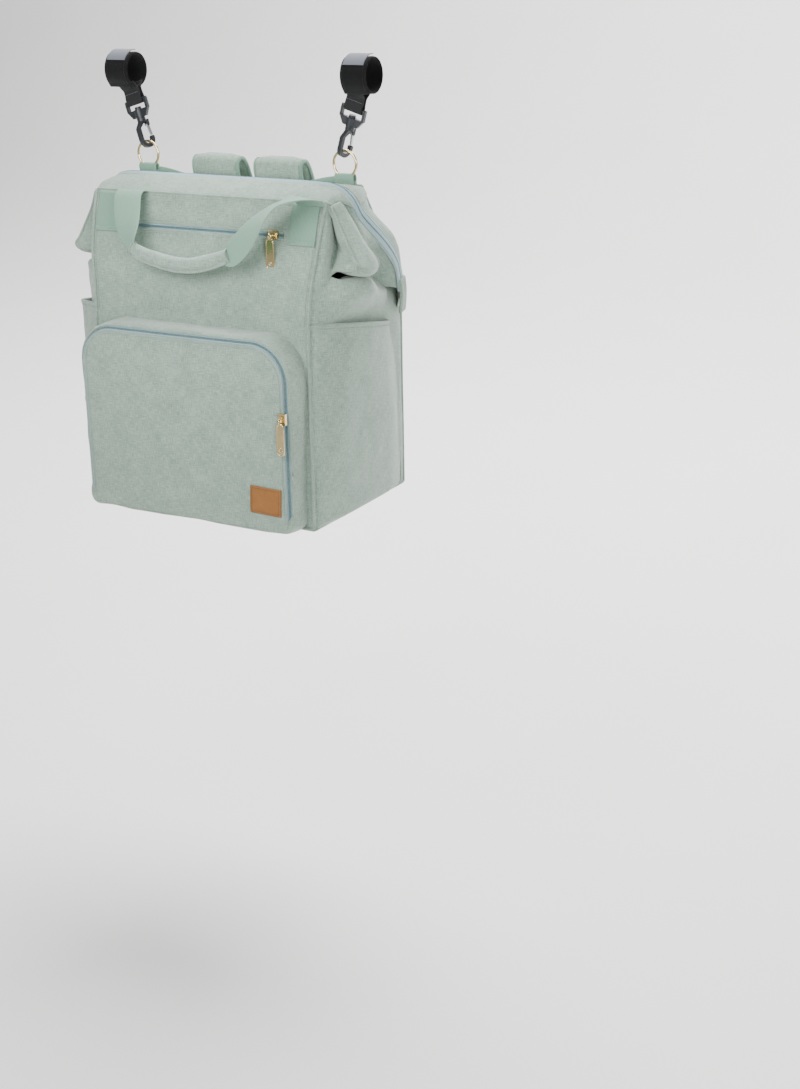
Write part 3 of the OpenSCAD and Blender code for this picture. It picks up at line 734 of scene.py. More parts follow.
TAPE_SECTION = ((0.7, 0.2), (1.8, 0.3), (3.4, 0.4), (5, 0.4), (6.6, 0.3), (8.4, -0.2))
for s, name, body, replaced in (
    (1, "main_zip_front", GUSSET_BEND, ["front_zip_tape"]),
    (-1, "main_zip_back", "bag", ["back_zip_tape", "left_side_zip", "right_side_zip"]),
):
    g = np.stack([zip_offset(s * out, lift) for out, lift in TAPE_SECTION])
    Mesh().grid(g, s < 0).build(name + "_tape", TAPE, body, ZIP_SLOT, *replaced, thick=0.8)
    teeth = Mesh().sweep(zip_offset(s * 0.62, 0.55), circle(0.62, 8), zip_up)
    teeth.build(name + "_coil", COIL, body, ZIP_SLOT)
    Mesh().tube(zip_offset(s * 6.4, 0.75), 0.85, zip_up, n=7).build(name + "_edge", PIPING, body)
    m = Mesh().stitches(zip_offset(s * 8.6, 1.55), zip_up, 3.2, 2.1, 0.25)
    m.build(name + "_stitches", THREAD, body)

# Top panels on both sides of the zip ---------------------------------------------------

FRONT_TOP = [
    [(154.2, 52, 343.6), (153.4, 45, 345.4), (147.5, 41.4, 347.8), (130, 41, 348.3), (60, 40.4, 348.5)],
    [(156, 61, 346.5), (154.2, 55, 350), (148.5, 53, 354.5), (130, 52.5, 355.4), (60, 52.5, 355.8)],
    [(163.2, 77.6, 338), (159.4, 74.6, 346.6), (150.4, 72.2, 356.4), (130, 70.8, 362.0),
     (60, 70.4, 363.0)],
]
BACK_TOP = [
    [(163.6, 88.6, 340), (157.6, 86.2, 350.4), (143, 84.2, 360.4), (100, 83.6, 363.0), (40, 83.6, 363.2)],
    [(159.5, 104, 343), (155.8, 104, 351), (143, 104, 358), (100, 104, 359.4), (40, 104, 359.6)],
    [(151, 124, 344.5), (152, 120.6, 350.2), (143.4, 119.3, 355.4), (100, 119, 356.2), (40, 119, 356.4)],
]
for name, control, nv, depth, seed, body in (
    ("front_top", FRONT_TOP, 12, 0.8, 2.2, "front_frame"),
    ("back_top", BACK_TOP, 14, 1.0, 4.2, "bag"),
):
    right = np.array(control, float)
    g = net(np.concatenate([right * (-1, 1, 1), right[:, ::-1]], 1), 150, nv)
    panel(name, crumple(g, 34, depth, seed), 1.8, body, name + "_panel")

# Front pocket -------------------------------------------------------------------------

POCKET_HALF, POCKET_TOP, POCKET_R, POCKET_LOW, POCKET_Y = 137.5, 212.0, 45.0, 12.0, -26.5
OUTWARD = np.array([0, -1.0, 0])


def pocket_half(z, inset=0.0):
    """Half width of the pocket's outline at a height, drawn in by an inset."""
    w, top, r, low = POCKET_HALF - inset, POCKET_TOP - inset, POCKET_R - inset, max(POCKET_LOW - inset, 4)
    up = np.clip(z - (top - r), 0, r)
    down = np.clip(inset + low - z, 0, low)
    shoulder = np.sqrt(np.maximum(r * r - up * up, 0))
    return w - r + shoulder - (low - np.sqrt(np.maximum(low * low - down * down, 0)))


def pocket_path(inset, foot, step=3.0):
    """Up one leg, over the top and down the other, with the outward direction at each point."""
    w, top, r = POCKET_HALF - inset, POCKET_TOP - inset, POCKET_R - inset
    leg = [(w, z) for z in np.linspace(foot, top - r, 60)]
    arc = [(w - r + r * math.cos(t), top - r + r * math.sin(t)) for t in np.linspace(0, math.pi / 2, 24)[1:]]
    right = np.array(leg + arc)
    full = even(np.vstack([right, (right * (-1, 1))[::-1]])[::-1], step)
    t = tangents(full)
    return full, np.stack([-t[:, 1], t[:, 0]], 1)


def face_y(x, z):
    """Depth of the pocket's face, which is puffed out between its zip's legs."""
    s = np.clip(np.abs(x) / pocket_half(np.clip(z, 0, 211.9)), 0, 1)
    v = np.clip(np.abs((z - 100) / 112), 0, 1)
    return POCKET_Y - 5.0 * (1 - s**3.2) * (1 - v**4.5)


def pocket_line(inset, foot, out):
    p, n = pocket_path(inset, foot)
    return xyz(p[:, 0], face_y(p[:, 0], p[:, 1]) - out, p[:, 1]), xyz(n[:, 0], 0, n[:, 1])


def eased(n):
    return 0.5 - 0.5 * np.cos(np.linspace(0, 1, n) * math.pi)


z_rows = 3.6 + (POCKET_TOP - 9.6) * eased(90) ** 0.9
s_cols = 0.55 * np.sin(np.linspace(-1, 1, 91) * math.pi / 2) + 0.45 * np.linspace(-1, 1, 91)
zz = np.repeat(z_rows[:, None], 91, 1)
xx = s_cols * pocket_half(z_rows, 6.0)[:, None]
g = xyz(xx, face_y(xx, zz), zz)
edge = (1 - np.abs(s_cols) ** 6) * (1 - np.abs((zz - 105) / 97) ** 8).clip(0, 1)
for size, depth, seed in ((62, 2.1, 1.7), (24, 0.55, 4.1)):
    g[..., 1] -= wrinkle(g, size, depth, seed) * edge
panel("pocket_face", g, 2.0, FLAP_BEND, "pocket_lower_face", "pocket_flap")

# Gusset round the pocket, from its lip back to the bag. There is no zip along the foot, so the wall
# runs on to the face there. Each row of the lip: out and depth round the zip, then the same at the foot
LIP = ((-3.6, 6.0, -8.4, 0.4), (-2.2, 4.0, -5, -0.4), (-1.2, 3.3, -2.2, -0.4), (-0.3, 3.9, -0.5, 1.0),
       (0.4, 5.4, 0.3, 3.6), (0.9, 8, 0.9, 8))
LIP_DEPTH = LIP[-1][1]
# How far out each row of the wall lies, and its share of the way from the lip to the bag
WALL = ((1.3, 0.45), (1.1, 0.7), (0.4, 0.92), (0, 1.0))
corner = POCKET_LOW * np.array([(math.sin(a), 1 - math.cos(a)) for a in np.linspace(0.15, 1.5, 7)])
corner += (POCKET_HALF - POCKET_LOW, 0)
foot_line = np.stack([np.linspace(POCKET_HALF - POCKET_LOW, POCKET_LOW - POCKET_HALF, 50), np.zeros(50)], 1)
loop = np.vstack([pocket_path(0, POCKET_LOW, 4.0)[0], corner[::-1], foot_line, corner * (-1, 1)])
ring_t = unit(np.roll(loop, -1, 0) - np.roll(loop, 1, 0))
ring_n = np.stack([-ring_t[:, 1], ring_t[:, 0]], 1)
foot = np.clip((25 - loop[:, 1]) / 8, 0, 1)
wall_depth = np.interp(loop[:, 1], FRONT[:, 1], FRONT[:, 0]) + 1.5 - POCKET_Y - LIP_DEPTH
rows = []
for out, depth, foot_out, foot_depth in LIP:
    q = loop + ring_n * (out + (foot_out - out) * foot)[:, None]
    rows.append(xyz(q[:, 0], POCKET_Y + depth + (foot_depth - depth) * foot, q[:, 1]))
for out, share in WALL:
    q = loop + ring_n * out
    rows.append(xyz(q[:, 0], POCKET_Y + LIP_DEPTH + wall_depth * share, q[:, 1]))
g = refine(closed_grid(np.array(rows)), 34)
g[6:] += (grid_normals(g) * wrinkle(g, 30, 1.3, 2.2)[..., None])[6:]
panel("pocket_gusset", g, 1.6, "bag", "pocket_walls")

line, out = pocket_line(4.1, 15, -1.9)
slant = out * 0.66 + (0, -0.75, 0)
tape = Mesh().sweep(line - slant * 0.5, flat(9.5, 0.7), slant)
tape.build("pocket_zip_tape", TAPE, FLAP_BEND, ZIP_SLOT, "pocket_zip")
zip_run(line + slant * 0.3, slant).build("pocket_zip_coil", COIL, FLAP_BEND)
Mesh().tube(pocket_line(6.3, 12, 0.3)[0], 0.95, OUTWARD, n=8).build("pocket_face_edge", PIPING, FLAP_BEND)
line, out = pocket_line(1.7, 12, -3.6)
Mesh().tube(line, 0.9, out, n=8).build("pocket_lip_edge", PIPING, "bag")
m = Mesh().stitches(pocket_line(9.6, 14, 0.45)[0], OUTWARD, 3.2, 2.2, 0.3)
m.build("pocket_face_stitches", THREAD, FLAP_BEND)


def patch_point(across, up, out):
    """A point of the leather patch, which is sewn on slightly askew at the lower right of the pocket."""
    tilt = math.radians(-3)
    x = 106 + across * math.cos(tilt) - up * math.sin(tilt)
    z = 37 + across * math.sin(tilt) + up * math.cos(tilt)
    return xyz(x, face_y(x, z) - out, z)


u, v = np.meshgrid(np.linspace(-1, 1, 22), np.linspace(-1, 1, 18))
m = Mesh().grid(patch_point(19 * u, 15.5 * v, 1.9 - 0.5 * (np.abs(u) ** 14 + np.abs(v) ** 14)))
m.build("patch", TAN, "bag", "patch_leather", "leather_patch", thick=1.3)
m, k = Mesh(), np.linspace(0, 1, 20)
corners = np.array([(-1, -1), (1, -1), (1, 1), (-1, 1), (-1, -1)]) * (16.6, 13.1)
for a, b in zip(corners[:-1], corners[1:]):
    m.stitches(patch_point(a[0] + (b[0] - a[0]) * k, a[1] + (b[1] - a[1]) * k, 2.0), OUTWARD, 2.8, 1.9, 0.26)
m.build("patch_stitches", TAN_THREAD, "bag")

# Side pockets ------------------------------------------------------------------------

SIDE_POCKET = [
    [(146.5, 0.6, 2), (149.5, 10, 1.6), (152, 48, 1.2), (152.5, 100, 1.2), (152, 150, 1.2),
     (149.5, 180, 1.6), (147.5, 189, 2)],
    [(146.6, 2, 12), (153, 12, 11), (157.5, 48, 10), (158.5, 100, 10), (157, 150, 10), (152, 180, 11),
     (148.5, 190, 12)],
    at_height(50, (145.8, 3.6), (153, 14), (159, 48), (160.5, 100), (158.6, 150), (152, 180),
              (148.5, 190)),
    [(143.8, 7.6, 110), (152, 18, 110), (159.6, 50, 110), (161.5, 100, 110), (159, 150, 108),
     (152, 178, 106), (148.5, 189, 105)],
    [(141.6, 11.4, 170), (150.5, 22, 169), (160, 52, 166), (163, 98, 162), (159, 146, 156),
     (151.6, 175, 152), (148, 187, 150)],
    [(140.6, 13, 205), (149.6, 25, 204), (160.6, 54, 201), (165.4, 96, 195), (160.6, 142, 188),
     (151, 171, 183), (147.6, 185, 180)],
    [(140.4, 13.6, 223), (149.6, 26.4, 222), (161.4, 55, 219), (167, 95, 213), (161.4, 140, 205),
     (150.6, 168, 200), (147.4, 184, 197)],
]
for side, word in SIDES:
    control = np.array(SIDE_POCKET, float)
    if side < 0:  # its mouth stands open a little
        full = np.array([0, 0.35, 0.8, 0.97, 1.03, 1.07, 1.12])[:, None]
        control[:, 1:5, 0] += full * (13, 22, 18, 8)
        control[:, 2, 1] -= full[:, 0] * 9
    g = crumple(crumple(net(control * (side, 1, 1), 76, 80), 48, 1.7, 3.3 * side), 18, 0.5, 6.1 * side)
    panel(f"{word}_side_pouch", g, 1.8, "bag", f"{word}_side_pocket", flip=side < 0)
    out = np.array([side, 0, 0])
    hem = Mesh().sweep(even(g[-1], 2.5) - (side * 0.8, 0, 1.4), flat(4.6, 2.9), out)
    hem.build(f"{word}_pouch_hem", PIPING, "bag", FABRIC, *(["pocket_bindings"] if side > 0 else []))
    m = Mesh().stitches(even(g[-5], 2.0) + out * 0.5, out, 3.2, 2.1, 0.28)
    m.build(f"{word}_pouch_stitches", THREAD, "bag")
    m = Mesh().tube(even(g[:, -1], 3) + out * 0.6, 1.0, out, n=7)
    m.tube(even(g[2:, 0], 3) + (side * 0.9, -0.3, 0), 1.2, out, n=7)
    m.build(f"{word}_pouch_seams", PIPING, "bag")

# Back panel, base and foam pad ---------------------------------------------------------

BACK = spline([
    (200, 0), (200.4, 60), (200, 130), (200.5, 200), (199.2, 228), (186, 254), (168, 285), (148, 314),
    (131, 338), (119.4, 356),
], 260)
z_rows = np.concatenate([np.linspace(0.6, 222, 60), np.linspace(226, 355.6, 44)])[:, None]
s_cols = np.linspace(-1, 1, 81)
sag = 4.5 * np.exp(-(((z_rows - 285) / 45) ** 2)) * (1 - s_cols**2)
g = xyz(147 * s_cols, np.interp(z_rows, BACK[:, 1], BACK[:, 0]) - sag, z_rows)
g = crumple(crumple(g, 60, 2.4, 9.1), 22, 0.6, 3.9)
panel("back_shell", g, 2.2, "bag", "back_panel", flip=True)
m = Mesh().tube(even(g[-1], 3) + (0, 0.4, 0.2), 1.3, (0, 0, 1), n=8)
for k in (0, -1):
    m.tube(even(g[:, k], 3) + (0, 0.5, 0), 1.7, (0, 1, 0), n=8)
m.build("back_seam_piping", PIPING, "bag", FABRIC)

u, v = np.meshgrid(np.linspace(-1, 1, 60), np.linspace(-1, 1, 44))
g = xyz(146.4 * u, 100 + 99.6 * v, 0)
g[..., 2] = 1.6 - 1.5 * (1 - u**4) * (1 - v**4) + wrinkle(g, 50, 0.7, 5)
panel("base_shell", g, 2.2, "bag", "base_panel", flip=True)
k = np.linspace(-1, 1, 60)
edge = np.vstack([xyz(146.8 * k, 0.2, 0.8), xyz(147.6, 100 + 99.6 * k, 0.8)[1:-1],
                  xyz(-146.8 * k, 200, 0.8), xyz(-147.6, 100 - 99.6 * k, 0.8)[1:-1]])
Mesh().tube(edge, 1.7, (0, 0, 1), closed=True, n=8).build("base_piping", PIPING, "bag", FABRIC)

PAD_Z, PAD_W, PAD_H = 118, 246, 196


def pad_half(z):
    """Half width of the pad's rounded rectangle at a height above its centre."""
    r = 24
    d = np.clip(np.abs(z) - (PAD_H / 2 - r), 0, r)
    return PAD_W / 2 - r + np.sqrt(np.maximum(r * r - d * d, 0))


def channel_z(x, z0):
    return z0 + 10 * np.cos(x / 78)


def inflate(obj, voxel, pressure, cap, frames):
    """Fills a closed pad with air until its cloth swells and wrinkles, moving no point more than the cap."""
    m = obj.modifiers.new("remesh", "REMESH")
    m.mode, m.voxel_size = "VOXEL", voxel
    apply_modifiers(obj)
    before = np.array([v.co for v in obj.data.vertices])
    c = obj.modifiers.new("cloth", "CLOTH")
    c.settings.quality = 6
    c.settings.mass = 0.2
    c.settings.use_pressure = True
    c.settings.uniform_pressure_force = pressure
    c.settings.tension_stiffness = c.settings.compression_stiffness = 25
    c.settings.bending_stiffness = 1.5
    c.settings.effector_weights.gravity = 0
    c.point_cache.frame_start, c.point_cache.frame_end = 1, frames
    for f in range(1, frames + 1):
        bpy.context.scene.frame_set(f)
    dg = bpy.context.evaluated_depsgraph_get()
    swollen = bpy.data.meshes.new_from_object(obj.evaluated_get(dg), depsgraph=dg)
    after = np.array([v.co for v in swollen.vertices])
    obj.modifiers.clear()
    bpy.context.scene.frame_set(1)
    d = after - before
    after = before + d * np.minimum(1, cap / np.maximum(np.linalg.norm(d, axis=1, keepdims=True), 1e-9))
    swollen.vertices.foreach_set("co", after.ravel().astype(np.float32))
    swollen.update()
    obj.data = swollen
    return subdivide(obj)


# Foam back pad: swollen between two rows and two columns of stitching
CHANNELS_Z, CHANNEL_X, PAD_FACE = (68, 166), 62, 204.2
z_rows = PAD_Z + (eased(70) - 0.5) * 195.8
s_cols = np.sin(np.linspace(-1, 1, 81) * math.pi / 2) * 0.35 + np.linspace(-1, 1, 81) * 0.65
xx = s_cols * pad_half(z_rows - PAD_Z)[:, None]
zz = np.repeat(z_rows[:, None], 81, 1)
rim = np.minimum(1, (1 - np.abs(s_cols)) * 14) ** 0.5
rim = rim * np.minimum(1, (PAD_H / 2 - np.abs(zz - PAD_Z)) / 9).clip(0, 1) ** 0.5
seam = np.minimum.reduce([np.abs(zz - channel_z(xx, z0)) for z0 in CHANNELS_Z])
seam = np.minimum(seam, np.abs(np.abs(xx) - CHANNEL_X))
swell = 0.35 + 0.65 * (1 - np.exp(-((seam / 5.5) ** 2)))
pad = Mesh().grid(xyz(xx, 200.9, zz)).grid(xyz(xx, 201.3 + 6.4 * rim * swell, zz), True)
pad = pad.build("back_pad", MESH_PAD)
inflate(pad, voxel=0.005, pressure=4.0, cap=0.004, frames=20)
put(pad, "bag", FABRIC, "back_foam_pad")
z = np.linspace(20.4, 215.6, 60)
right_edge = xyz(pad_half(z - PAD_Z), 201.6, z)
loop = np.vstack([right_edge, (right_edge * (-1, 1, 1))[::-1], right_edge[:1]])
m = Mesh().tube(even(loop, 3)[:-1], 1.9, (0, 1, 0), closed=True, n=8)
m.build("back_pad_binding", PIPING, "bag")
m, k = Mesh(), np.linspace(-112, 112, 90)
for z0 in CHANNELS_Z:
    m.stitches(xyz(k, PAD_FACE, channel_z(k, z0)), (0, 1, 0), 3.4, 2.4, 0.3)
for x0 in (-CHANNEL_X, CHANNEL_X):
    m.stitches(xyz(x0, PAD_FACE, np.linspace(28, 208, 70)), (0, 1, 0), 3.4, 2.4, 0.3)
m.build("back_pad_stitches", THREAD, "bag")

# Shoulder straps ----------------------------------------------------------------------

STRAP = [
    (122, 353.5), (118.4, 364), (118.6, 373.5), (123.5, 377.2), (130.5, 376.2), (137.5, 368), (144.5, 353),
    (154, 333), (167, 309), (184, 284), (201, 256), (212.6, 226), (214.4, 200), (214.4, 160), (214.3, 114),
]
STRAP_RUN = [
    (214.2, 122), (216.6, 112), (217.2, 101), (214.0, 92), (212.4, 80), (212.2, 50), (211.6, 24),
    (207, 13), (201.5, 8),
]
STRAP_TAIL = [(213.6, 97), (216.4, 90), (217.4, 78), (217.6, 56), (216.8, 40), (217.4, 33)]
STRAP_X, STRAP_W = 41.5, 62.0
sx = np.linspace(-1, 1, 15)
body = (1 - np.abs(sx) ** 5) ** 0.8
quilt = 1 - 0.42 * np.exp(-((np.abs(sx) - 0.72) / 0.07) ** 2)
web = Mesh()
for side, word in SIDES:
    path = side_path(side * STRAP_X, STRAP, 4.0)
    up = np.cross((1.0, 0, 0), tangents(path))
    along = np.linspace(0, 1, len(path))
    puff = 4.6 * np.clip(along * 9, 0.55, 1) * np.clip((1 - along) * 14, 0.35, 1) ** 0.5
    narrow = 0.8 + 0.2 * np.clip((1 - along) * 9, 0, 1)
    crumb = wrinkle(path, 30, 0.9, 8 + side)
    hx = (STRAP_W / 2 - 1.2) * narrow[:, None] * sx
    top = 0.6 + (puff + crumb * 0.5)[:, None] * body * quilt
    low = -0.6 - (puff * 0.75 - crumb * 0.4)[:, None] * body
    over, under = np.stack([hx, top], 2)[:, ::-1], np.stack([hx, low], 2)[:, 1:-1]
    strap = Mesh().sweep(path, np.concatenate([over, under], 1), up)
    strap = strap.build(f"{word}_padded_strap", SAGE, "bag", FABRIC, f"{word}_shoulder_strap")
    binding, thread = Mesh(), Mesh()
    for s in (-1, 1):
        binding.sweep(path + xyz(s * (STRAP_W / 2 - 1.0) * narrow, 0, 0), flat(3.2, 4.4), up)
        line = path + xyz(s * (STRAP_W / 2 - 1.2) * 0.72 * narrow, 0, 0) + up * (0.8 + puff[:, None] * 0.62)
        thread.stitches(line[4:-3], (0, 0.7, 0.7), 3.4, 2.3, 0.3)
    binding.build(f"{word}_strap_binding", MINT, "bag", WEB)
    thread.build(f"{word}_strap_stitches", THREAD, "bag")
    web.sweep(side_path(side * STRAP_X, STRAP_RUN, 2.5), flat(25, 1.5), (0, 1, 0.02))
    web.sweep(side_path(side * STRAP_X, STRAP_TAIL, 2.5), flat(25, 1.4), (0, 1, 0.02))
    web.sweep(xyz(side * STRAP_X, [218.2, 218.3, 218.4], [41, 37, 33]), flat(25, 1.4), (0, 1, 0))
web.build("strap_web", MINT, "bag", WEB, "strap_webbing")

# Ring tabs ----------------------------------------------------------------------------

ring_c = sum(np.array(c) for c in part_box("right_ring")) / 2 * 1000 - ORIGIN
TAB_LOOP = [
    (3.6, -8.6), (2.9, -4.4), (3.3, -0.6), (1.8, 2.7), (-0.4, 3.4), (-2.6, 2.2), (-3.5, -0.9),
    (-2.6, -4.4), (-1.9, -8.6),
]
TAB_RUN = [(9, 2.4, -5.2), (-10, 2.8, -4.6), (-26, 3.6, -6.6), (-44, 4.4, -10.6)]
m = Mesh()
for side in (-1, 1):
    foot = ring_c * (side, 1, 1) + (0, 0, -14)  # where the ring's wire passes through the tab
    path = side_path(foot[0], np.array(TAB_LOOP) + foot[1:], 1.2)
    m.sweep(path, flat(24, 1.3), path - (foot - (0, 0, 1.0)))
    m.sweep(foot + np.array([(0, 1.0, -3.8), (0, 0.8, -7), (-side, 0.4, -10.4)]), flat(25, 2.6), (0, 1, 0))
    # The tab's sewn-down end runs along the top of the back seam towards the straps
    m.sweep(smooth_path(foot + np.array(TAB_RUN) * (side, 1, 1), 2.5), flat(10, 1.4), (0, 1, 0.15))
m.build("ring_tab_webbing", MINT, "bag", WEB, "ring_tabs")

# Front handle --------------------------------------------------------------------------

# Flat webbing sewn to the yoke under each end of the handle
m, thread = Mesh(), Mesh()
for x0, x1 in ((-144, -111), (111, 144)):
    mid = (x0 + x1) / 2
    m.sweep(front_point(mid, np.linspace(304.5, 346.5, 16), 0.9), flat(x1 - x0, 1.4), YOKE_UP)
    m.sweep(front_point(mid, np.linspace(304.5, 309.5, 6), 1.9), flat(x1 - x0, 1.2), YOKE_UP)
    thread.stitches(front_point(np.linspace(x0 + 2, x1 - 2, 30), 307.6, 2.7), YOKE_UP, 2.8, 1.9, 0.28)
m.build("handle_anchor_webbing", MINT, YOKE_BEND, WEB, "handle_anchors")
thread.build("handle_anchor_stitches", THREAD, YOKE_BEND)


def twisted(path, wide, width, n):
    """Webbing along a path whose flat side turns; wide gives its crosswise direction at control points."""
    p = spline(path, n)
    widths = np.interp(np.linspace(0, len(width) - 1, n), np.arange(len(width)), width)
    up = unit(np.cross(spline(wide, n), tangents(p)))
    return Mesh().sweep(p, np.array([flat(b, 1.5) for b in widths]), up)


LEFT_HANDLE = [
    (-94, 36.5, 349.2), (-94, 30, 349.6), (-93.4, 24, 345.6), (-90.5, 17.5, 337), (-85.5, 10, 325),
    (-78.5, 2, 311), (-71, -3.4, 300), (-63, -6.4, 293), (-52, -7.2, 289),
]
LEFT_ACROSS = [
    (1, 0, 0), (1, 0, 0), (1, 0, 0), (1, -0.04, 0), (1, -0.1, 0), (0.95, -0.25, 0.02), (0.85, -0.45, 0.1),
    (0.6, -0.75, 0.2), (0.1, -1, 0.1),
]
RIGHT_HANDLE = [
    (134, 37, 345.5), (134.5, 31, 351), (133.5, 22, 354.4), (128, 11, 354.6), (118, 3, 351),
    (106, -1.5, 342.6), (94, -5, 330), (82, -7, 316), (71, -8, 304), (60, -8.6, 294.4), (46, -8.4, 289.6),
]
RIGHT_ACROSS = [
    (1, 0, 0), (1, 0, 0), (0.9, -0.45, 0), (0.6, -0.8, 0), (0.25, -0.95, -0.1), (0.25, -0.85, -0.35),
    (0.45, -0.6, -0.5), (0.62, -0.35, -0.62), (0.7, -0.2, -0.68), (0.62, -0.1, -0.75), (0.3, -0.1, -0.9),
]
m = twisted(LEFT_HANDLE, LEFT_ACROSS, (35, 35, 35, 35, 35, 33, 27, 17, 9), 64)
m.build("handle_web_left", MINT, "front_handle", WEB, "handle_webbing")
m = twisted(RIGHT_HANDLE, RIGHT_ACROSS, (34, 34, 34, 33, 31, 30, 29, 28, 27, 24, 9), 84)
m.build("handle_web_right", MINT, "front_handle", WEB)

GRIP = [
    (-69, -5.8, 293.8), (-61, -6.4, 290.8), (-50, -7, 287.6), (-35, -7.4, 284.4), (-20, -7.6, 282),
    (-5, -7.8, 281), (10, -8, 281.6), (25, -8, 284.2), (40, -8.2, 288.4), (51, -8.4, 292),
    (58.5, -8.6, 294.8),
]
GRIP_UP = (0, -0.25, 0.97)
path = smooth_path(GRIP, 2.5)
taper = 0.86 + 0.14 * (1 - np.abs(np.linspace(-1, 1, len(path))) ** 3)
a = around(28)
lump = wrinkle(path, 16, 0.9, 3.3)
wrap = wrinkle(xyz(path[:, :1], 9 * np.cos(a), 9 * np.sin(a)), 13, 0.55, 6.1)
deep = ((6.6 * taper + lump * 0.4)[:, None] + wrap) * np.cos(a) * (1 + 0.04 * np.cos(2 * a))
rings = np.stack([deep, ((8.0 * taper + lump)[:, None] + wrap) * np.sin(a)], 2)
grip = subdivide(Mesh().sweep(path, rings, GRIP_UP).build("handle_grip_sleeve", SAGE))
put(grip, "front_handle", FABRIC, "handle_grip")
m = Mesh().stitches((path + xyz(0, -5.8 * taper, -3.9 * taper))[3:-3], (0, -0.8, -0.6), 3.0, 2.1, 0.3)
m.build("grip_stitches", THREAD, "front_handle")
m = Mesh().sweep((path + xyz(0, -3.1 * taper, -7.5 * taper))[1:-1], flat(3.0, 1.6), (0, -0.94, -0.35))
m.build("grip_seam", PIPING, "front_handle", FABRIC)
m = Mesh()
for end, t in ((0, path[1] - path[0]), (-1, path[-1] - path[-2])):
    t = unit(t)
    across = unit(np.cross(t, GRIP_UP))
    loop = path[end] + rings[end][:, :1] * across + rings[end][:, 1:] * np.cross(across, t)
    m.tube(loop, 0.9, t, closed=True, n=7)
m.build("grip_end_hems", PIPING, "front_handle", FABRIC)

# Stroller straps and their webbing -------------------------------------------------------

SPAN = sum(c.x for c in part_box("right_grip_strap")) * 500
TILT = math.atan((SPAN - ring_c[0]) / (-ORIGIN[2] - ring_c[2] - 14))
BAR = np.array([0, -ORIGIN[1], -ORIGIN[2]])
a, s = np.radians(np.linspace(112, 112 + 486, 120)), np.linspace(0, 1, 120)
r = 18.15 + 0.1 * s + 1.95 * np.clip((s - 0.70) / 0.07, 0, 1) + 1.2 * np.clip((s - 0.97) / 0.03, 0, 1)
for side, word in SIDES[::-1]:
    path = BAR + xyz(side * SPAN, r * np.cos(a), r * np.sin(a))
    up = xyz(0, np.cos(a), np.sin(a))
    m = Mesh().sweep(path, flat(30, 1.75), up)
    m.build(f"{word}_grip_wrap", BLACK_PILE, "stroller_straps", "strap_black", f"{word}_grip_strap")
    m = Mesh()
    for e in (-12.6, 12.6):
        m.stitches(path[4:-3] + (e, 0, 0) + up[4:-3] * 0.9, (0, 0, 1), 3.4, 2.2, 0.28)
    m.build(f"{word}_grip_wrap_stitches", BLACK_WEB, "stroller_straps")


def chain_point(p, side):
    """From a point below the handlebar's axis to its place beside a hook."""
    x, y, z = np.moveaxis(np.asarray(p, float), -1, 0)
    c, s = math.cos(side * TILT), math.sin(side * TILT)
    return xyz(x * c + z * s + side * SPAN, y, -x * s + z * c) + BAR


HOOK_LOOP = [(8.2, -15.8), (5.6, -19.2), (2.6, -22.8), (2.5, -28), (3.4, -33), (3.3, -37.5)]
loop = np.array(HOOK_LOOP + [(0, -39.7)] + [(-y, z) for y, z in HOOK_LOOP[::-1]])
m, thread = Mesh(), Mesh()
for side in (-1, 1):
    path = chain_point(side_path(0, loop, 1.4), side)
    across = chain_point([1, 0, 0], side) - chain_point([0, 0, 0], side)
    m.sweep(path, flat(22, 1.5), np.cross(np.gradient(path, axis=0), across))
    for y in (3.6, -3.6):
        row = xyz(np.linspace(-9.5, 9.5, 20), y, -27.5)
        thread.stitches(chain_point(row, side), (0, math.copysign(1, y), 0), 2.4, 1.6, 0.26)
m.build("hook_web", BLACK_WEB, "stroller_straps", "strap_black", "hook_webbing")
thread.build("hook_web_stitches", LABEL, "stroller_straps")

# Pullers: a raised rim round a flat plate, with an eyelet and a small link -----------------

UP = np.array([0, 0, 1.0])
for name, node, thin in (
    ("upper_zip_puller", "upper_pull", (0, 1, 0)),
    ("pocket_zip_puller", "pocket_pull", (0, 1, 0)),
    ("main_zip_puller", "main_pull", (1, 0, 0)),
):
    thin = np.array(thin, float)
    wide = np.array([thin[1], thin[0], 0])
    lo, hi = (np.array(c) * 1000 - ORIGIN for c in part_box(node))
    top = np.array([*((lo + hi) / 2)[:2], hi[2] - 1.2])
    half, length = (hi - lo) @ wide / 2 - 0.3, top[2] - lo[2]
    base = np.array([top[0], top[1], lo[2] + length / 2 - 1.2])
    a = around(72)
    x, z = squarer(np.cos(a), 0.5) * half, squarer(np.sin(a), 0.3) * (length / 2 - 2)
    x = x * (1 - 0.14 * (z / length + 0.5) ** 2)
    outline = base + x[:, None] * wide + z[:, None] * UP
    hole = 1.9 * (np.cos(a)[:, None] * wide + np.sin(a)[:, None] * UP)
    hole = hole + (top[0], top[1], lo[2] + 6.5)
    m = Mesh().tube(outline, 0.95, thin, closed=True, n=8)
    for d in (0.45, -0.45):
        plate = np.array([outline, (outline + hole) / 2, hole]) + thin * d
        m.grid(closed_grid(plate), d < 0)
    m.tube(hole, 0.6, thin, closed=True, n=8)
    b = around(32)[:, None]
    m.tube(top - UP * 0.4 + 2.1 * np.cos(b) * thin + 2.4 * np.sin(b) * UP, 0.75, wide, closed=True, n=8)
    m.tube(top + np.array([-1, 0, 1])[:, None] * wide * (half * 0.62), 1.1, thin, n=10)
    m.build(name, GOLD, node, "pale_gold", node)

# Folded tabs over the ends of the main zip --------------------------------------------------

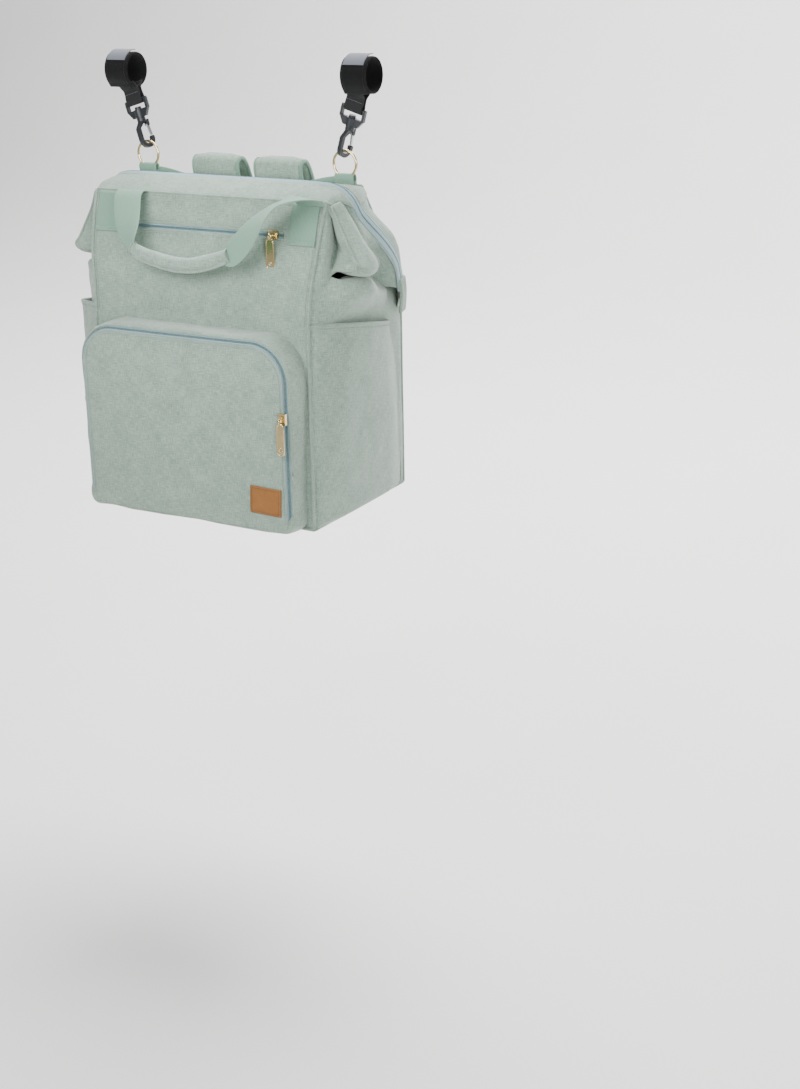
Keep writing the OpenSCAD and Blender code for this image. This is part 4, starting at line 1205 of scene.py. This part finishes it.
m, thread = Mesh(), Mesh()
for side in (-1, 1):
    bends = np.array([(0.8, -1.5, 12), (1.4, 0, 3), (0.6, 2, -10), (-2.2, 4.2, -27)]) * (side, 1, 1)
    path = smooth_path(for_side(ZIP_LINE, side)[-1] + bends, 1.6)
    up = (side, 0.12, 0.05)
    m.sweep(path, flat(15.5, 3.4), up)
    m.sweep(path[:3] + (side * 0.6, 0, 0), flat(16.4, 3.0), up)
    for e in (-6, 6):
        line = path + np.cross(tangents(path), up) * e + (side * 1.95, 0, 0)
        thread.stitches(line, (side, 0, 0), 2.8, 1.9, 0.26)
m.build("zip_end_folds", SAGE, "bag", FABRIC, "zip_end_tabs")
thread.build("zip_end_stitches", THREAD, "bag")

# Lining, organiser pocket and the pouch behind the upper zip --------------------------------

# Height, then the depth of its front and back and its half width
LINING_ROWS = ((5.5, 8, 194, 141), (7.5, 6, 196.5, 143.5), (30, 6, 196.8, 143.6), (90, 9, 196.8, 142.6),
               (150, 15, 196.6, 140.5), (200, 20.5, 196, 138.5), (232, 28, 191, 134.5))
a = np.linspace(0, 2 * math.pi, 97)
cx, cy = squarer(np.cos(a), 0.28), squarer(np.sin(a), 0.28)
g = refine(np.array([xyz(w * cx, (f + b) / 2 + (b - f) / 2 * cy, z) for z, f, b, w in LINING_ROWS]), 56)
g = g - grid_normals(g) * (1.2 + np.abs(wrinkle(g, 34, 2.6, 5.5)))[..., None]
g[:, -1] = g[:, 0]
centre = g[0].mean(0)
floor_rings = np.stack([centre + (g[0] - centre) * k for k in (1.0, 0.97, 0.85, 0.6, 0.3, 0.02)])
m = Mesh().grid(g).grid(floor_rings, True)
m.build("lining_bag", LINING, "bag", LINING_SLOT, "lining", thick=0.6)

t = np.linspace(-1, 1, 64)
rows = []
for z, sag in ((62, 0.55), (66, 1.0), (110, 1.0), (160, 0.95), (188, 1.1)):
    y = 193.5 - 17 * sag * (1 - np.abs(t) ** 10) * (1 - 0.28 * np.exp(-(((np.abs(t) - 0.33) / 0.04) ** 2)))
    rows.append(xyz(109.5 * t, y, z - 4 * (z > 180) * np.cos(t * math.pi * 1.5) ** 2))
g = crumple(refine(np.array(rows), 30), 26, 1.4, 8.8)
Mesh().grid(g).build("organiser_pocket", LINING, "bag", LINING_SLOT, "inner_pocket", thick=0.9)
Mesh().tube(even(g[-1], 3), 1.6, (0, 0, 1), n=8).build("organiser_elastic", MINT, "bag", WEB)

t = np.linspace(-1, 1, 50)
POUCH_SECTION = ((29.6, 299), (35.6, 297.6), (41, 315), (45.6, 333), (40.5, 336.5))
rows = np.array([xyz(118.5 * t, y - 2.5 * np.abs(t) ** 8, z) for y, z in POUCH_SECTION])
g = crumple(refine(rows, 26), 28, 1.2, 2.6)
Mesh().grid(g).build("upper_pouch", LINING, "front_frame", LINING_SLOT, "upper_pocket", thick=0.8)

# CAD parts that stay: hardware, with small rounded edges ------------------------------------

for names, material, radius in (
    ("left_ring right_ring", GOLD, 0),
    ("upper_slider pocket_slider main_slider", GOLD, 0.5),
    ("left_hook_eye right_hook_eye", PLASTIC, 0.45),
    ("left_hook_body right_hook_body", PLASTIC, 0.5),
    ("left_hook_gate right_hook_gate", STEEL, 0.25),
    ("front_frame_wire back_frame_wire", STEEL, 0),
    ("frame_rivets", STEEL, 0.3),
    ("strap_labels", LABEL, 0.25),
    ("strap_adjusters", PLASTIC_DARK, 0.7),
    ("base_board", BOARD, 0.4),
):
    for name in names.split():
        o = nodes[name]
        o.data.materials.clear()
        o.data.materials.append(material)
        if radius:
            b = o.modifiers.new("edges", "BEVEL")
            b.width, b.segments, b.limit_method, b.angle_limit = radius / 1000, 2, "ANGLE", math.radians(35)

# The frame wires run in cloth sleeves above the rivets
SLEEVE, RIVET_TOP = 0.0005, place((0, 0, 272))[2]
for node, body, name in (
    ("front_frame_wire", "front_frame", "front_frame_sleeve"),
    ("back_frame_wire", "bag", "back_frame_sleeve"),
):
    bm = bmesh.new()
    bm.from_mesh(nodes[node].data)
    bm.transform(nodes[node].matrix_world)
    bm.normal_update()
    for v in bm.verts:
        v.co += v.normal * SLEEVE
    bmesh.ops.delete(bm, geom=[f for f in bm.faces if f.calc_center_median().z < RIVET_TOP], context="FACES")
    mesh = bpy.data.meshes.new(name)
    bm.to_mesh(mesh)
    bm.free()
    mesh.materials.append(SAGE)
    sleeve = bpy.data.objects.new(name, mesh)
    bpy.context.scene.collection.objects.link(sleeve)
    put(sleeve, body, FABRIC)

# Camera, floor and light -----------------------------------------------------------------

CAMERA_AT, LENS, SENSOR = (1.0947, -1.6016, 0.1355), 56.68, 36.0
azimuth, pitch, roll = math.radians(29.47), math.radians(19.51), math.radians(-1.056)
ahead = math.cos(pitch)
forward = Vector((-math.sin(azimuth) * ahead, math.cos(azimuth) * ahead, -math.sin(pitch)))
level = Vector((math.cos(azimuth), math.sin(azimuth), 0))
above = level.cross(forward)
right = level * math.cos(roll) + above * math.sin(roll)
above = above * math.cos(roll) - level * math.sin(roll)
camera = bpy.data.objects.new("camera", bpy.data.cameras.new("camera"))
bpy.context.scene.collection.objects.link(camera)
camera.data.lens, camera.data.sensor_width = LENS, SENSOR
axes = (right, above, -forward, CAMERA_AT)
camera.matrix_world = Matrix([[v[i] for v in axes] for i in range(3)] + [[0, 0, 0, 1]])
bpy.context.scene.camera = camera

FLOOR_Z = -0.98
s = Shader("floor_pale", Roughness=0.85, Specular_IOR_Level=0.2)
s.color(s.mix(s.noise(s.point(), 3.0, 3.0, 0.5), srgb(236, 236, 235), srgb(244, 244, 243)))
curve = spline([(-4.0, 0), (0, 0), (3.2, 0), (4.4, 0.35), (5.0, 1.4), (5.1, 3.0), (5.1, 5.0)], 60)
sheet = Mesh().grid(xyz(np.linspace(-6, 6, 25), curve[:, :1], curve[:, 1:] + FLOOR_Z) * 1000 - ORIGIN)
sheet.build("floor", s.mat)


def area_light(name, at, target, size, power):
    data = bpy.data.lights.new(name, "AREA")
    data.shape, data.size, data.energy = "DISK", size, power
    o = bpy.data.objects.new(name, data)
    o.location = at
    o.rotation_mode = "QUATERNION"
    o.rotation_quaternion = (Vector(target) - Vector(at)).to_track_quat("-Z", "Y")
    bpy.context.scene.collection.objects.link(o)


area_light("key", (0.02, -0.62, 0.08), (0, -0.1, -0.13), 0.4, 5.0)
area_light("side", (1.5, -1.3, 0.2), (0, 0, -0.3), 0.7, 19)
area_light("rim", (-0.5, 1.5, 1.3), (0, 0, -0.2), 1.0, 10)
area_light("sweep", (0, 1.6, 3.0), (0, 4.2, -0.6), 3.4, 540)
world = bpy.data.worlds.new("world")
bpy.context.scene.world = world
world.use_nodes = True
world.node_tree.nodes["Background"].inputs["Color"].default_value = (1, 1, 1, 1)
world.node_tree.nodes["Background"].inputs["Strength"].default_value = 0.37
